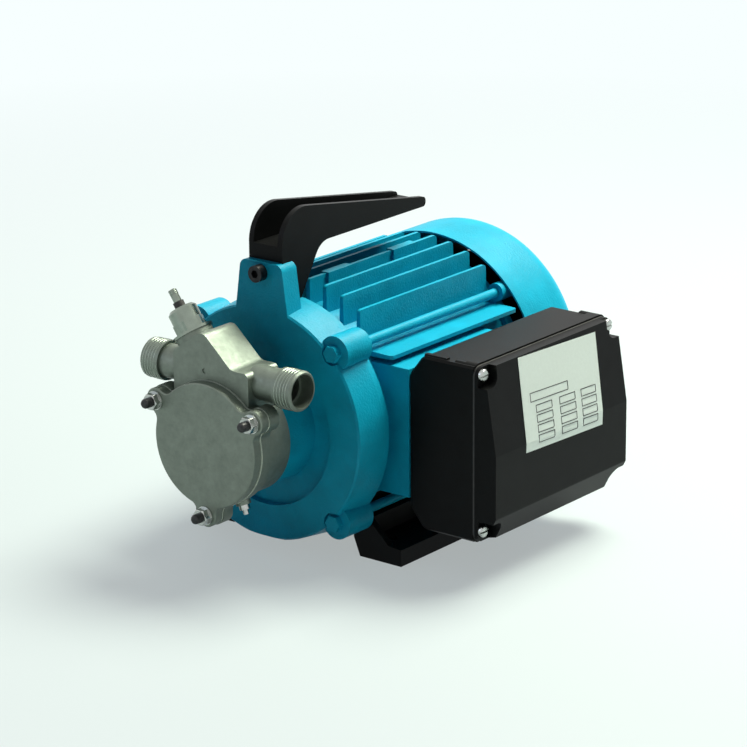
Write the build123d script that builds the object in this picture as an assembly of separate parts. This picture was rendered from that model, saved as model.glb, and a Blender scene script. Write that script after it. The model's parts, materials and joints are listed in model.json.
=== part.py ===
from build123d import *
import math
import os

# Self-priming pump with a flexible impeller, on a small foot-mounted motor.
# Millimetres. +Y runs along the shaft to the fan, +X to the terminal box, +Z up.
# The origin is on the floor, under the shaft, in the middle of the four foot holes.

# Motor, overall
SHAFT_HEIGHT = 71.0
FRAME_LENGTH = 121.0
FRAME_REAR = 60.0
SHELL_RADIUS = 58.0
SHELL_WALL = 5.0
BOLT_OFFSET = 45.5

# Running and sliding clearances, and the play of parts that are only put together
RUNNING_FIT = 0.05
LOOSE_FIT = 0.15
SOFT_FIT = 0.3

# Depth to which one form is sunk into the next, and a cutter stands past a face
SINK = 1.0

# Cooling fins
FIN_RADIUS = 71.5
FIN_COUNT = 8
FIN_PITCH = 11.0
FIN_ROOT = 3.0
FIN_TIP = 2.0
FIN_FRONT_SETBACK = 12.0
FIN_REAR_SETBACK = 0.5
FIN_CORNER = 2.0
FIN_BOSS_WIDTH = 5.0
FIN_BOSS_LENGTH = 20.0
FIN_BOSS_RISE = 0.6
FIN_BOSS_CENTRES = (-25.0, 30.0)

# Pad of the frame that carries the terminal box
PAD_REACH = 71.0
PAD_HEIGHT = 69.0
PAD_LENGTH = 82.0
PAD_WIRE_HOLE = 8.0

# Front end shield
SHIELD_DEPTH = 22.0
SHIELD_REGISTER = 3.0
DISC_RADIUS = 63.0
DISC_EDGE = 1.0
DISC_WALL = 4.0
RIM_RADIUS = 65.0
RIM_STRAIGHT = 4.0
RECESS_RADIUS = 44.0
RECESS_DEPTH = 4.0
NOSE_RADIUS = 29.0
NOSE_ROOT = 31.0
NOSE_LENGTH = 16.5
WEEP_SLOT = (8.0, 13.0, 3.0, 3.0)
HUB_RADIUS = 24.0
HUB_TAPER = 2.0
LUG_RADIUS = 9.0
LUG_SETBACK = 2.5
LUG_NOTCH = 6.0
DISC_FLAT = 61.8

# Rear end shield
REAR_LUG_RADIUS = 5.0
REAR_LUG_LENGTH = 11.0
REAR_RIM_RADIUS = 61.0
REAR_DISC_DEPTH = 5.0
REAR_HUB_LENGTH = 15.0
COWL_BOSS_WIDTH = 9.0
COWL_BOSS_ANGLES = (20.0, 160.0, 240.0, 300.0)

# Tie bolts
TIE_RADIUS = 2.5
TIE_HEAD_FLATS = 8.0
TIE_HEAD_HEIGHT = 3.5
TIE_NUT_HEIGHT = 4.0
TIE_TAIL = 2.0

# Bearings, both the same size
BEARING_BORE = 7.5
BEARING_RADIUS = 17.5
BEARING_WIDTH = 11.0
BEARING_SPLIT = 12.5
BEARING_EDGE = 0.8
BEARING_LIP = 2.0
FRONT_BEARING_REACH = 8.0
REAR_BEARING_REACH = 1.0
WAVE_WASHER = 0.6

# Shaft
SHAFT_BODY = 9.0
SHAFT_NOSE = 7.0
PUMP_SHAFT = 6.0
FAN_SHAFT = 6.0
SHAFT_CHAMFER = 0.6
SHAFT_SETBACK = 1.0
SHAFT_STEP = 2.0
SHAFT_TAIL = 3.0

# Stator, windings and rotor
CORE_LENGTH = 60.0
CORE_CENTRE = 0.0
CORE_BORE = 30.0
AIR_GAP = 0.4
WINDING_INNER = 33.0
WINDING_OUTER = 49.5
WINDING_REACH = 16.0
WINDING_ROUND = 4.0
END_RING_INNER = 20.0
END_RING_WIDTH = 6.0
END_RING_SETBACK = 2.0

# Fan and cowl
COWL_RADIUS = 70.7
COWL_WALL = 1.0
COWL_FRONT = 64.0
COWL_REAR = 110.0
COWL_ROUNDING = 13.0
GRILLE_RINGS = (18.0, 28.0, 38.0, 48.0)
GRILLE_SLOT = 4.5
GRILLE_BRIDGES = 6
GRILLE_BRIDGE_WIDTH = 5.0
FAN_RADIUS = 60.0
FAN_HUB = 12.0
FAN_DISC = 2.0
FAN_DISC_SETBACK = 6.0
FAN_BLADE = 2.0
FAN_BLADES = 8
FAN_WIDTH = 16.0
FAN_GAP = 4.0
CLIP_RADIUS = 9.0
CLIP_WIDTH = 1.2
CLIP_GROOVE = 0.8
COWL_SCREW_RADIUS = 1.9
COWL_SCREW_HEAD = 3.6
COWL_SCREW_HEAD_HEIGHT = 2.2
COWL_SCREW_LENGTH = 7.0

# Foot
FOOT_SPACING_X = 112.0
FOOT_SPACING_Y = 90.0
FOOT_HOLE = 3.5
FOOT_WIDTH = 140.0
FOOT_LENGTH = 110.0
FOOT_FLANGE = 9.0
FOOT_FLANGE_RISE = 2.0
FOOT_INNER = 43.0
FOOT_WEB_OUTER = 48.5
FOOT_TOP = 31.0
FOOT_TOP_INNER = 41.5
FOOT_SHOULDER = 21.5
FOOT_STRAP = 5.5
FOOT_WALL_INNER = 39.0
FOOT_WALL_RISE = 10.0
FOOT_GUSSET = 4.0
FOOT_GUSSET_RUN = 14.0
FOOT_GUSSET_RISE = 14.0
FOOT_SCREW_X = 22.0
FOOT_SCREW_Y = 38.0
FOOT_SCREW_RADIUS = 2.5
FOOT_SCREW_HEAD = 4.5
FOOT_SCREW_HEAD_HEIGHT = 2.5
FOOT_SCREW_BITE = 3.5
FOOT_SCREW_SINK = 2.0

# Handle and its bracket
HANDLE_WIDTH = 22.0
HANDLE_WALL = 3.0
HANDLE_FLOOR = 3.2
HANDLE_REACH = 120.0
HANDLE_UNDERSIDE = 91.5
HANDLE_FRONT_DEPTH = 24.5
HANDLE_REAR_DEPTH = 5.0
HANDLE_FRONT_ROUNDING = 18.0
HANDLE_HOLLOW_ROUNDING = 12.0
HANDLE_TIP_ROUNDING = 2.4
HANDLE_LEG_TOP = 31.0
HANDLE_LEG_FOOT = 15.0
BRACKET_WALL = 4.0
BRACKET_DEPTH = 11.5
BRACKET_TOP = 86.5
BRACKET_TOP_WIDTH = 27.0
BRACKET_FOOT_WIDTH = 35.0
BRACKET_ROUNDING = 4.5
BRACKET_SINK = 6.0
HANDLE_SCREW_HEIGHT = 81.0
HANDLE_SCREW_RADIUS = 2.5
HANDLE_SCREW_HEAD = 4.4
HANDLE_SCREW_HEAD_HEIGHT = 5.0
HANDLE_SCREW_LENGTH = 16.0
HANDLE_SCREW_SOCKET = 4.0
HANDLE_SCREW_SOCKET_DEPTH = 2.5

# Terminal box
BOX_LENGTH = 111.0
BOX_FRONT = -49.0
BOX_TOP = 43.3
BOX_BOTTOM = -50.0
BOX_PARTING = 111.5
BOX_WALL = 3.0
BOX_CORNER_RUN = 8.5
BOX_CORNER_RISE = 11.0
BOX_CORNER_ROUNDING = 5.0
BOX_RIM_WIDTH = 7.0
BOX_RIM_RISE = 1.0
BOX_RIM_REACH = 5.5
BOX_RIM_ROUNDING = 5.0
BOX_GASKET = 1.0
LID_TOP_REACH = 6.3
LID_FOLD_REACH = 13.5
LID_FOLD_HEIGHT = -1.5
LID_BEVEL_HEIGHT = -35.0
LID_BEVEL_ROUNDING = 2.0
LID_FOOT_REACH = 6.5
LID_FOOT_HEIGHT = -48.5
LID_WALL = 2.5
LID_SEAT = 2.0
LID_NOTCH = 6.0
BOX_POST = 5.0
BOX_SCREW_INSET_Y = 3.6
BOX_SCREW_INSET_TOP = 4.3
BOX_SCREW_INSET_FOOT = 6.0
BOX_SCREW_RADIUS = 1.5
BOX_SCREW_HEAD = 3.3
BOX_SCREW_HEAD_HEIGHT = 2.4
BOX_SCREW_SLOT = 1.0
BOX_SCREW_LENGTH = 13.0
BOX_LUG_WIDTH = 14.0
BOX_LUG_HEIGHT = 5.0
BOX_LUG_DEPTH = 2.4
BOX_LUG_RISE = 0.8

# Inside the terminal box
FIXING_SCREW_RADIUS = 2.0
FIXING_SCREW_HEAD = 3.8
FIXING_SCREW_HEAD_HEIGHT = 2.6
FIXING_SCREW_BITE = 8.0
FIXING_SPACING_Y = 60.0
FIXING_SPACING_Z = 44.0
CAPACITOR_RADIUS = 15.0
CAPACITOR_LENGTH = 70.0
CAPACITOR_HEIGHT = -28.0
CAPACITOR_STANDOFF = 4.0
CAPACITOR_EDGE = 1.5
CAPACITOR_STUD = 4.0
CAPACITOR_STUD_LENGTH = 8.0
CAPACITOR_SADDLE = 18.0
SADDLE_DROP = 8.0
SADDLE_RISE = 5.5
TERMINAL_LENGTH = 46.0
TERMINAL_WIDTH = 18.0
TERMINAL_DEPTH = 16.0
TERMINAL_HEIGHT = 12.0
TERMINAL_WAYS = 5
TERMINAL_POCKET = 2.6
TERMINAL_POCKET_DEPTH = 5.0
GLAND_HEIGHT = 14.0
GLAND_THREAD = 8.0
GLAND_FLATS = 19.0
GLAND_COLLAR = 5.0
GLAND_NUT_LENGTH = 13.0
GLAND_LOCKNUT = 4.0
GLAND_BORE = 3.75

# Pump
COVER_THICKNESS = 5.7
COVER_EDGE = 0.6
GASKET_THICKNESS = 0.8
GASKET_LIP = 0.3
PUMP_DEPTH = 24.0
PUMP_RADIUS = 33.0
PUMP_BARREL = 31.5
CHAMBER_RADIUS = 26.0
CHAMBER_DEPTH = 17.5
STUD_CIRCLE = 37.0
STUD_ANGLES = (30.0, 150.0, 270.0)
STUD_RADIUS = 2.5
STUD_BITE = 6.0
STUD_TIP = 9.5
STUD_ROUNDING = 1.5
EAR_RADIUS = 6.4
EAR_BLEND = 5.0
BODY_EAR_RADIUS = 6.8
BODY_EAR_DEPTH = 7.0
WASHER_RADIUS = 5.0
WASHER_THICKNESS = 1.0
NUT_FLATS = 8.0
NUT_HEIGHT = 4.0
NUT_CROWN = 4.5
NUT_CHAMFER = 0.6

# Cast head of the pump body, with its two ports
HEAD_LEFT = -25.0
HEAD_RIGHT = 24.5
HEAD_LEFT_EAVE = 45.0
HEAD_APEX_X = -5.5
HEAD_APEX = 58.5
HEAD_VALLEY_X = 13.5
HEAD_SHOULDER = 41.0
HEAD_APEX_ROUNDING = 5.0
HEAD_VALLEY_ROUNDING = 6.0
HEAD_CORNER_ROUNDING = 3.0
PORT_HEIGHT = 34.0
PORT_THREAD = 10.48
PORT_THREAD_LENGTH = 12.0
PORT_NECK = 9.0
PORT_ROOT = 4.0
PORT_END = 50.0
PORT_BORE = 7.0
PORT_MOUTH = 8.8
PORT_MOUTH_DEPTH = 8.0
PORT_CHAMFER = 0.9
PORT_INNER_END = 9.0
PASSAGE_X = 15.0
PASSAGE_RADIUS = 6.0
PASSAGE_SETBACK = 9.0
CASTING_MARK = 1.4
CASTING_MARK_DEPTH = 0.6
CASTING_MARK_PLACE = (-4.3, 37.7)

# Spigot, seal and wear plate
SPIGOT_RADIUS = 19.0
SPIGOT_LENGTH = 8.2
SEAL_CAVITY = 15.0
SEAL_CAVITY_DEPTH = 9.0
SEAT_RADIUS = 13.0
SEAT_THICKNESS = 4.5
SEAT_BORE = 7.5
SPIGOT_BORE = 8.0
SEAL_HEAD_RADIUS = 12.0
SEAL_HEAD_LENGTH = 5.5
SEAL_FACE_RADIUS = 10.5
SEAL_FACE_STEP = 2.0
WEAR_PLATE = 1.5
WEAR_PLATE_HOLE = 13.0
BODY_SCREW_CIRCLE = 22.3
BODY_SCREW_RADIUS = 2.0
BODY_SCREW_HEAD = 3.5
BODY_SCREW_HEAD_HEIGHT = 2.2
BODY_SCREW_BITE = 11.0
BODY_SCREWS = 4

# Impeller and cam
IMPELLER_HUB = 12.5
IMPELLER_SLEEVE = 8.0
IMPELLER_VANES = 6
VANE_THICKNESS = 3.0
VANE_BULB = 2.2
CAM_THICKNESS = 2.8
CAM_HALF_ANGLE = 20.0
CAM_SCREW_RADIUS = 2.0
CAM_SCREW_HEAD = 3.2
CAM_SCREW_HEAD_HEIGHT = 1.8
CAM_SCREW_LENGTH = 12.0
KEY_RADIUS = 1.5
KEY_SETBACK = 0.5

# Priming valve on the left slope of the head
VALVE_SLIDE = 5.0
VALVE_BOSS_RADIUS = 10.0
VALVE_BOSS_HEIGHT = 3.5
VALVE_BOSS_ROOT = 6.0
VALVE_WASHER_RADIUS = 10.9
VALVE_WASHER_THICKNESS = 1.4
VALVE_FLATS = 15.0
VALVE_HEX_HEIGHT = 5.5
VALVE_CROWN = 7.9
VALVE_CROWN_HEIGHT = 7.5
VALVE_CROWN_CHAMFER = 1.5
VALVE_THREAD = 6.0
VALVE_THREAD_LENGTH = 8.0
VALVE_FLOOR = 2.0
VALVE_CHAMBER = 4.0
VALVE_PASSAGE = 2.0
VALVE_GLAND_RADIUS = 2.9
VALVE_GLAND_HEIGHT = 3.5
STEM_RADIUS = 2.2
STEM_RISE = 7.0
STEM_COLLAR = 3.6
STEM_COLLAR_HEIGHT = 2.5
STEM_TRAVEL = 3.0
STEM_CHAMFER = 0.5
SPRING_WIRE = 0.5
SPRING_RADIUS = 3.1
SPRING_PITCH = 1.3
SPRING_TURNS = 3

# Drain screw under the pump body
DRAIN_ANGLE = -70.0
DRAIN_BOSS = 4.0
DRAIN_BOSS_REACH = 35.2
DRAIN_SETBACK = 9.5
DRAIN_THREAD = 1.8
DRAIN_HEAD = 2.8
DRAIN_HEAD_HEIGHT = 2.6
DRAIN_NIPPLE = 1.5
DRAIN_NIPPLE_HEIGHT = 2.6

# Stations along the shaft, worked out from the sizes above
FRAME_FRONT = FRAME_REAR - FRAME_LENGTH
RIM_REAR = FRAME_FRONT + SHIELD_REGISTER
DISC_FRONT = RIM_REAR - SHIELD_DEPTH
RECESS_FLOOR = DISC_FRONT + RECESS_DEPTH
DISC_BACK = RECESS_FLOOR + DISC_WALL
NOSE_FRONT = DISC_FRONT - NOSE_LENGTH
BODY_FRONT = NOSE_FRONT - PUMP_DEPTH
GASKET_FRONT = BODY_FRONT - GASKET_THICKNESS
COVER_FRONT = GASKET_FRONT - COVER_THICKNESS
CHAMBER_BACK = BODY_FRONT + CHAMBER_DEPTH
SEAL_CAVITY_BACK = CHAMBER_BACK + SEAL_CAVITY_DEPTH
SPIGOT_REAR = NOSE_FRONT + SPIGOT_LENGTH
SOCKET_FLOOR = SPIGOT_REAR + SOFT_FIT
FRONT_BEARING = FRAME_FRONT - FRONT_BEARING_REACH
REAR_BEARING = FRAME_REAR + REAR_BEARING_REACH
SHELL_BORE = SHELL_RADIUS - SHELL_WALL
FAN_FRONT = FRAME_REAR + REAR_HUB_LENGTH + FAN_GAP
FAN_REAR = FAN_FRONT + FAN_WIDTH
LUG_SEAT = DISC_FRONT + LUG_SETBACK
HANDLE_FRONT_HEIGHT = HANDLE_UNDERSIDE + HANDLE_FRONT_DEPTH
HANDLE_REAR_HEIGHT = HANDLE_UNDERSIDE + HANDLE_REAR_DEPTH
REAR_LUG_END = FRAME_REAR + REAR_LUG_LENGTH
BOX_REAR = BOX_FRONT + BOX_LENGTH
LID_REAR = BOX_REAR + BOX_RIM_REACH
BOX_DEPTH = BOX_PARTING - PAD_REACH
GLAND_REACH = PAD_REACH + BOX_DEPTH / 2
CAPACITOR_REACH = PAD_REACH + BOX_WALL + CAPACITOR_STANDOFF + CAPACITOR_RADIUS
PORT_Y = BODY_FRONT + PUMP_DEPTH / 2
IMPELLER_FRONT = GASKET_FRONT + SOFT_FIT
IMPELLER_REAR = CHAMBER_BACK - WEAR_PLATE - SOFT_FIT
CAM_RADIUS = CHAMBER_RADIUS - CAM_THICKNESS


def on_axis(shape):
    """Lifts a shape that is drawn about the Y axis to the height of the shaft."""
    return Pos(0, 0, SHAFT_HEIGHT) * shape


def turned(profile):
    """Solid of revolution about the shaft, from an outline of (y, radius) points."""
    outline = Polyline(*[(radius, y) for y, radius in profile], close=True)
    return on_axis(revolve(make_face(outline), Axis.Y))


def rod_y(radius, front, rear, x=0.0, height=0.0):
    """Round bar along Y between two stations, at a height above the shaft's axis."""
    middle = Pos(x, (front + rear) / 2, SHAFT_HEIGHT + height)
    return middle * Rot(90, 0, 0) * Cylinder(radius, rear - front)


def rod_x(radius, left, right, y, height=0.0):
    """Round bar along X between two places, at a height above the shaft's axis."""
    middle = Pos((left + right) / 2, y, SHAFT_HEIGHT + height)
    return middle * Rot(0, 90, 0) * Cylinder(radius, right - left)


def rod_z(radius, low, high, x, y):
    """Round upright bar between two heights above the floor."""
    return Pos(x, y, (low + high) / 2) * Cylinder(radius, high - low)


def ring_y(outer, inner, front, rear):
    """Plain ring about the shaft."""
    return rod_y(outer, front, rear) - rod_y(inner, front, rear)


def block(low, high):
    """Box between two corners, with heights measured from the floor."""
    size = [b - a for a, b in zip(low, high)]
    middle = [(a + b) / 2 for a, b in zip(low, high)]
    return Pos(*middle) * Box(*size)


def hexagon_y(flats, front, rear, x=0.0, height=0.0):
    """Hexagon bar along Y, given by its width across flats."""
    face = RegularPolygon(flats / 2, 6, major_radius=False)
    bar = extrude(face, rear - front)
    return Pos(x, rear, SHAFT_HEIGHT + height) * Rot(90, 0, 0) * bar


def prism_y(outline, front, rear, roundings=()):
    """Prism along Y from (x, height) points; roundings are (point number, radius)."""
    sketch = make_face(Polyline(*outline, close=True))
    for number, radius in roundings:
        spot = Vector(*outline[number])
        corner = sketch.vertices().sort_by_distance(spot)[0]
        sketch = fillet(corner, radius)
    bar = extrude(sketch, rear - front)
    return Pos(0, rear, SHAFT_HEIGHT) * Rot(90, 0, 0) * bar


def prism_x(outline, left, right, roundings=()):
    """Prism along X from (y, height) points; roundings are (point number, radius)."""
    sketch = make_face(Polyline(*outline, close=True))
    for number, radius in roundings:
        spot = Vector(*outline[number])
        corner = sketch.vertices().sort_by_distance(spot)[0]
        sketch = fillet(corner, radius)
    bar = extrude(sketch, right - left)
    return Pos(left, 0, SHAFT_HEIGHT) * Rot(90, 90, 0) * bar


def group(shapes):
    """Separate solids of one node, such as a set of identical screws."""
    solids = []
    for shape in shapes:
        solids.extend(shape.solids())
    return Compound(solids)


def polar(radius, degrees):
    """X and height of a point on a circle about the shaft, seen from the front."""
    angle = math.radians(degrees)
    return radius * math.cos(angle), radius * math.sin(angle)


def corners(offset):
    """The four tie bolt places."""
    return [(x, z) for x in (-offset, offset) for z in (-offset, offset)]


def fin_outline(place, reach):
    """Tapered section of one fin that stands up from the shell."""
    root = SHELL_RADIUS - SHELL_WALL / 2
    foot = math.sqrt(root ** 2 - place ** 2)
    return [
        (place - FIN_ROOT / 2, foot),
        (place - FIN_TIP / 2, reach),
        (place + FIN_TIP / 2, reach),
        (place + FIN_ROOT / 2, foot),
    ]


def fin(place, turn):
    """One fin; turn swings it about the shaft from the top of the frame."""
    reach = math.sqrt(FIN_RADIUS ** 2 - place ** 2)
    front = FRAME_FRONT + FIN_FRONT_SETBACK
    rear = FRAME_REAR - FIN_REAR_SETBACK
    sketch = make_face(Polyline(*fin_outline(place, reach), close=True))
    bar = Pos(0, rear, 0) * Rot(90, 0, 0) * extrude(sketch, rear - front)
    ends = bar.faces().sort_by(Axis.Z)[-1].edges().filter_by(Axis.X)
    bar = fillet(ends, FIN_CORNER)
    return on_axis(Rot(0, turn, 0) * bar)


def motor_frame():
    shell = ring_y(SHELL_RADIUS, SHELL_BORE, FRAME_FRONT, FRAME_REAR)
    places = [(number - (FIN_COUNT - 1) / 2) * FIN_PITCH for number in range(FIN_COUNT)]
    for place in places:
        shell += fin(place, 0)
    # The left side is finned down to the foot, the right one only above the pad
    for place in places[1:]:
        shell += fin(place, -90)
    shell += fin(-places[-1], 90)
    # Thickened lengths of one fin beside the middle
    x = places[FIN_COUNT // 2]
    low = SHAFT_HEIGHT + SHELL_BORE + SINK
    high = SHAFT_HEIGHT + math.sqrt(FIN_RADIUS ** 2 - x ** 2) + FIN_BOSS_RISE
    for centre in FIN_BOSS_CENTRES:
        shell += block(
            (x - FIN_BOSS_WIDTH / 2, centre - FIN_BOSS_LENGTH / 2, low),
            (x + FIN_BOSS_WIDTH / 2, centre + FIN_BOSS_LENGTH / 2, high),
        )
    pad = block(
        (0, BOX_FRONT, SHAFT_HEIGHT - PAD_HEIGHT / 2),
        (PAD_REACH, BOX_FRONT + PAD_LENGTH, SHAFT_HEIGHT + PAD_HEIGHT / 2),
    )
    shell += pad - rod_y(SHELL_RADIUS - SINK, BOX_FRONT, BOX_FRONT + PAD_LENGTH)
    shell -= rod_x(PAD_WIRE_HOLE, SHELL_BORE - SHELL_WALL, PAD_REACH, pad_centre())
    for y in (-FIXING_SPACING_Y / 2, FIXING_SPACING_Y / 2):
        for z in (-FIXING_SPACING_Z / 2, FIXING_SPACING_Z / 2):
            reach = PAD_REACH - FIXING_SCREW_BITE
            shell -= rod_x(FIXING_SCREW_RADIUS, reach, PAD_REACH, pad_centre() + y, z)
    for x in (-FOOT_SCREW_X, FOOT_SCREW_X):
        for y in (-FOOT_SCREW_Y, FOOT_SCREW_Y):
            shell -= rod_z(FOOT_SCREW_RADIUS, 0, foot_screw_top(), x, y)
    return shell


def pad_centre():
    return BOX_FRONT + PAD_LENGTH / 2


def saddle_height(x, radius):
    """Height above the floor of a circle about the shaft, on its underside."""
    return SHAFT_HEIGHT - math.sqrt(radius ** 2 - x ** 2)


def foot_screw_top():
    return saddle_height(FOOT_SCREW_X, SHELL_RADIUS) + FOOT_SCREW_BITE


def bracket():
    """Cast socket on top of the front shield that holds the leg of the handle."""
    half_top = BRACKET_TOP_WIDTH / 2
    half_foot = BRACKET_FOOT_WIDTH / 2
    root = DISC_RADIUS - BRACKET_SINK
    outline = [(-half_foot, root), (-half_top, BRACKET_TOP), (half_top, BRACKET_TOP), (half_foot, root)]
    rear = DISC_FRONT + BRACKET_DEPTH
    body = prism_y(outline, DISC_FRONT, rear, ((1, BRACKET_ROUNDING), (2, BRACKET_ROUNDING)))
    half_pocket = HANDLE_WIDTH / 2 + LOOSE_FIT
    pocket = block(
        (-half_pocket, DISC_FRONT + BRACKET_WALL, SHAFT_HEIGHT + RIM_RADIUS),
        (half_pocket, rear, SHAFT_HEIGHT + BRACKET_TOP),
    )
    screw_hole = rod_y(HANDLE_SCREW_RADIUS + LOOSE_FIT, DISC_FRONT, rear, 0, HANDLE_SCREW_HEIGHT)
    return body - pocket - screw_hole


def front_shield():
    bell_start = RIM_REAR - RIM_STRAIGHT
    shell = turned([
        (NOSE_FRONT, SPIGOT_RADIUS + LOOSE_FIT),
        (NOSE_FRONT, NOSE_RADIUS),
        (RECESS_FLOOR, NOSE_ROOT),
        (RECESS_FLOOR, RECESS_RADIUS),
        (DISC_FRONT, RECESS_RADIUS),
        (DISC_FRONT, DISC_RADIUS - DISC_EDGE),
        (DISC_FRONT + DISC_EDGE, DISC_RADIUS),
        (bell_start, RIM_RADIUS),
        (RIM_REAR, RIM_RADIUS),
        (RIM_REAR, SHELL_RADIUS),
        (FRAME_FRONT, SHELL_RADIUS),
        (FRAME_FRONT, SHELL_BORE + SINK),
        (DISC_BACK, SHELL_BORE + SINK),
        (DISC_BACK, HUB_RADIUS),
        (FRONT_BEARING + BEARING_WIDTH, HUB_RADIUS),
        (FRONT_BEARING + BEARING_WIDTH, BEARING_RADIUS),
        (FRONT_BEARING, BEARING_RADIUS),
        (FRONT_BEARING, BEARING_SPLIT),
        (FRONT_BEARING - BEARING_LIP, BEARING_SPLIT),
        (FRONT_BEARING - BEARING_LIP, SHAFT_BODY),
        (SOCKET_FLOOR, SHAFT_BODY),
        (SOCKET_FLOOR, SPIGOT_RADIUS + LOOSE_FIT),
    ])
    for x, z in corners(BOLT_OFFSET):
        shell += rod_y(LUG_RADIUS, LUG_SEAT, RIM_REAR, x, z) - rod_y(SHELL_RADIUS, LUG_SEAT, RIM_REAR)
    shell -= block((-SHELL_RADIUS, DISC_FRONT, 0), (SHELL_RADIUS, RIM_REAR, SHAFT_HEIGHT - DISC_FLAT))
    shell += bracket()
    # The disc is notched round the bolt heads, which stand on the lugs behind it
    for x, z in corners(BOLT_OFFSET):
        shell -= rod_y(LUG_NOTCH, DISC_FRONT, LUG_SEAT, x, z)
        shell -= rod_y(TIE_RADIUS + LOOSE_FIT, LUG_SEAT, RIM_REAR, x, z)
    for x, z in body_screw_places():
        shell -= rod_y(BODY_SCREW_RADIUS, NOSE_FRONT, body_screw_end(), x, z)
    return shell - weep_slot()


def weep_slot():
    """Slot under the nose that lets a leaking seal drip clear of the bearing."""
    left, right, length, depth = WEEP_SLOT
    base = SHAFT_HEIGHT - NOSE_RADIUS
    return block((left, RECESS_FLOOR - length, base - depth), (right, RECESS_FLOOR, base + depth))


def body_screw_places():
    step = 360 / BODY_SCREWS
    return [polar(BODY_SCREW_CIRCLE, step * number + step / 2) for number in range(BODY_SCREWS)]


def body_screw_end():
    return NOSE_FRONT + BODY_SCREW_BITE


def rear_shield():
    hub_rear = FRAME_REAR + REAR_HUB_LENGTH
    register = FRAME_REAR - SHIELD_REGISTER
    register_radius = SHELL_BORE - LOOSE_FIT
    disc_rear = FRAME_REAR + REAR_DISC_DEPTH
    pocket_end = REAR_BEARING + BEARING_WIDTH + WAVE_WASHER
    shell = turned([
        (register, register_radius - SHELL_WALL),
        (register, register_radius),
        (FRAME_REAR, register_radius),
        (FRAME_REAR, REAR_RIM_RADIUS),
        (disc_rear, REAR_RIM_RADIUS),
        (disc_rear, HUB_RADIUS + HUB_TAPER),
        (hub_rear, HUB_RADIUS),
        (hub_rear, SHAFT_BODY),
        (pocket_end, SHAFT_BODY),
        (pocket_end, BEARING_RADIUS),
        (FRAME_REAR - SINK, BEARING_RADIUS),
        (FRAME_REAR - SINK, HUB_RADIUS),
        (FRAME_REAR, HUB_RADIUS),
        (FRAME_REAR, register_radius - SHELL_WALL),
    ])
    for x, z in corners(BOLT_OFFSET):
        shell += rod_y(REAR_LUG_RADIUS, FRAME_REAR, REAR_LUG_END, x, z)
    # Bosses that the cowl sits on
    for angle in COWL_BOSS_ANGLES:
        boss = block(
            (REAR_RIM_RADIUS - COWL_BOSS_WIDTH / 2, FRAME_REAR, -COWL_BOSS_WIDTH / 2),
            (COWL_RADIUS + COWL_WALL, cowl_boss_rear(), COWL_BOSS_WIDTH / 2),
        )
        shell += on_axis(Rot(0, -angle, 0) * boss)
    shell -= ring_y(COWL_RADIUS + 2 * COWL_WALL, cowl_bore(), register, hub_rear)
    for x, z in corners(BOLT_OFFSET):
        shell -= rod_y(TIE_RADIUS + LOOSE_FIT, FRAME_REAR, REAR_LUG_END, x, z)
    for angle in COWL_BOSS_ANGLES:
        shell -= radial_rod(COWL_SCREW_RADIUS, cowl_bore() - COWL_SCREW_LENGTH, cowl_bore(), angle)
    return shell


def cowl_bore():
    return COWL_RADIUS - COWL_WALL


def cowl_boss_rear():
    return COWL_FRONT + COWL_BOSS_WIDTH


def radial_rod(radius, inner, outer, angle):
    """Bar that stands out from the shaft's axis, at the station of the cowl's screws."""
    y = COWL_FRONT + COWL_BOSS_WIDTH / 2
    bar = Pos((inner + outer) / 2, y, 0) * Rot(0, 90, 0) * Cylinder(radius, outer - inner)
    return on_axis(Rot(0, -angle, 0) * bar)


def cowl_screws():
    screws = []
    for angle in COWL_BOSS_ANGLES:
        shank = radial_rod(COWL_SCREW_RADIUS, cowl_bore() - COWL_SCREW_LENGTH, COWL_RADIUS, angle)
        head = radial_rod(COWL_SCREW_HEAD, COWL_RADIUS, COWL_RADIUS + COWL_SCREW_HEAD_HEIGHT, angle)
        screws.append(shank + head)
    return group(screws)


def cowl_skin(radius, front, rear, rounding):
    """Closed drum with a rounded rear edge, one wall of the cowl."""
    with BuildSketch() as section:
        with BuildLine():
            Polyline((0, rear), (0, front), (radius, front), (radius, rear - rounding))
            RadiusArc((radius, rear - rounding), (radius - rounding, rear), -rounding)
            Line((radius - rounding, rear), (0, rear))
        make_face()
    return on_axis(revolve(section.sketch, Axis.Y))


def fan_cowl():
    outer = cowl_skin(COWL_RADIUS, COWL_FRONT, COWL_REAR, COWL_ROUNDING)
    inner = cowl_skin(cowl_bore(), COWL_FRONT - SINK, COWL_REAR - COWL_WALL, COWL_ROUNDING - COWL_WALL)
    cowl = outer - inner
    bridges = []
    for number in range(GRILLE_BRIDGES):
        arm = block(
            (0, COWL_REAR - 3 * COWL_WALL, -GRILLE_BRIDGE_WIDTH / 2),
            (COWL_RADIUS, COWL_REAR + COWL_WALL, GRILLE_BRIDGE_WIDTH / 2),
        )
        bridges.append(on_axis(Rot(0, number * 360 / GRILLE_BRIDGES, 0) * arm))
    slots = []
    for radius in GRILLE_RINGS:
        slot = ring_y(radius + GRILLE_SLOT / 2, radius - GRILLE_SLOT / 2,
                      COWL_REAR - 2 * COWL_WALL, COWL_REAR + COWL_WALL)
        for arm in bridges:
            slot -= arm
        slots.append(slot)
    for slot in slots:
        cowl -= slot
    for angle in COWL_BOSS_ANGLES:
        cowl -= radial_rod(COWL_SCREW_RADIUS, cowl_bore() - SINK, COWL_RADIUS + SINK, angle)
    return cowl


def tie_bolts():
    bolts = []
    for x, z in corners(BOLT_OFFSET):
        shank = rod_y(TIE_RADIUS, LUG_SEAT, REAR_LUG_END + TIE_NUT_HEIGHT + TIE_TAIL, x, z)
        head = hexagon_y(TIE_HEAD_FLATS, LUG_SEAT - TIE_HEAD_HEIGHT, LUG_SEAT, x, z)
        bolts.append(shank + head)
    return group(bolts)


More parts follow.
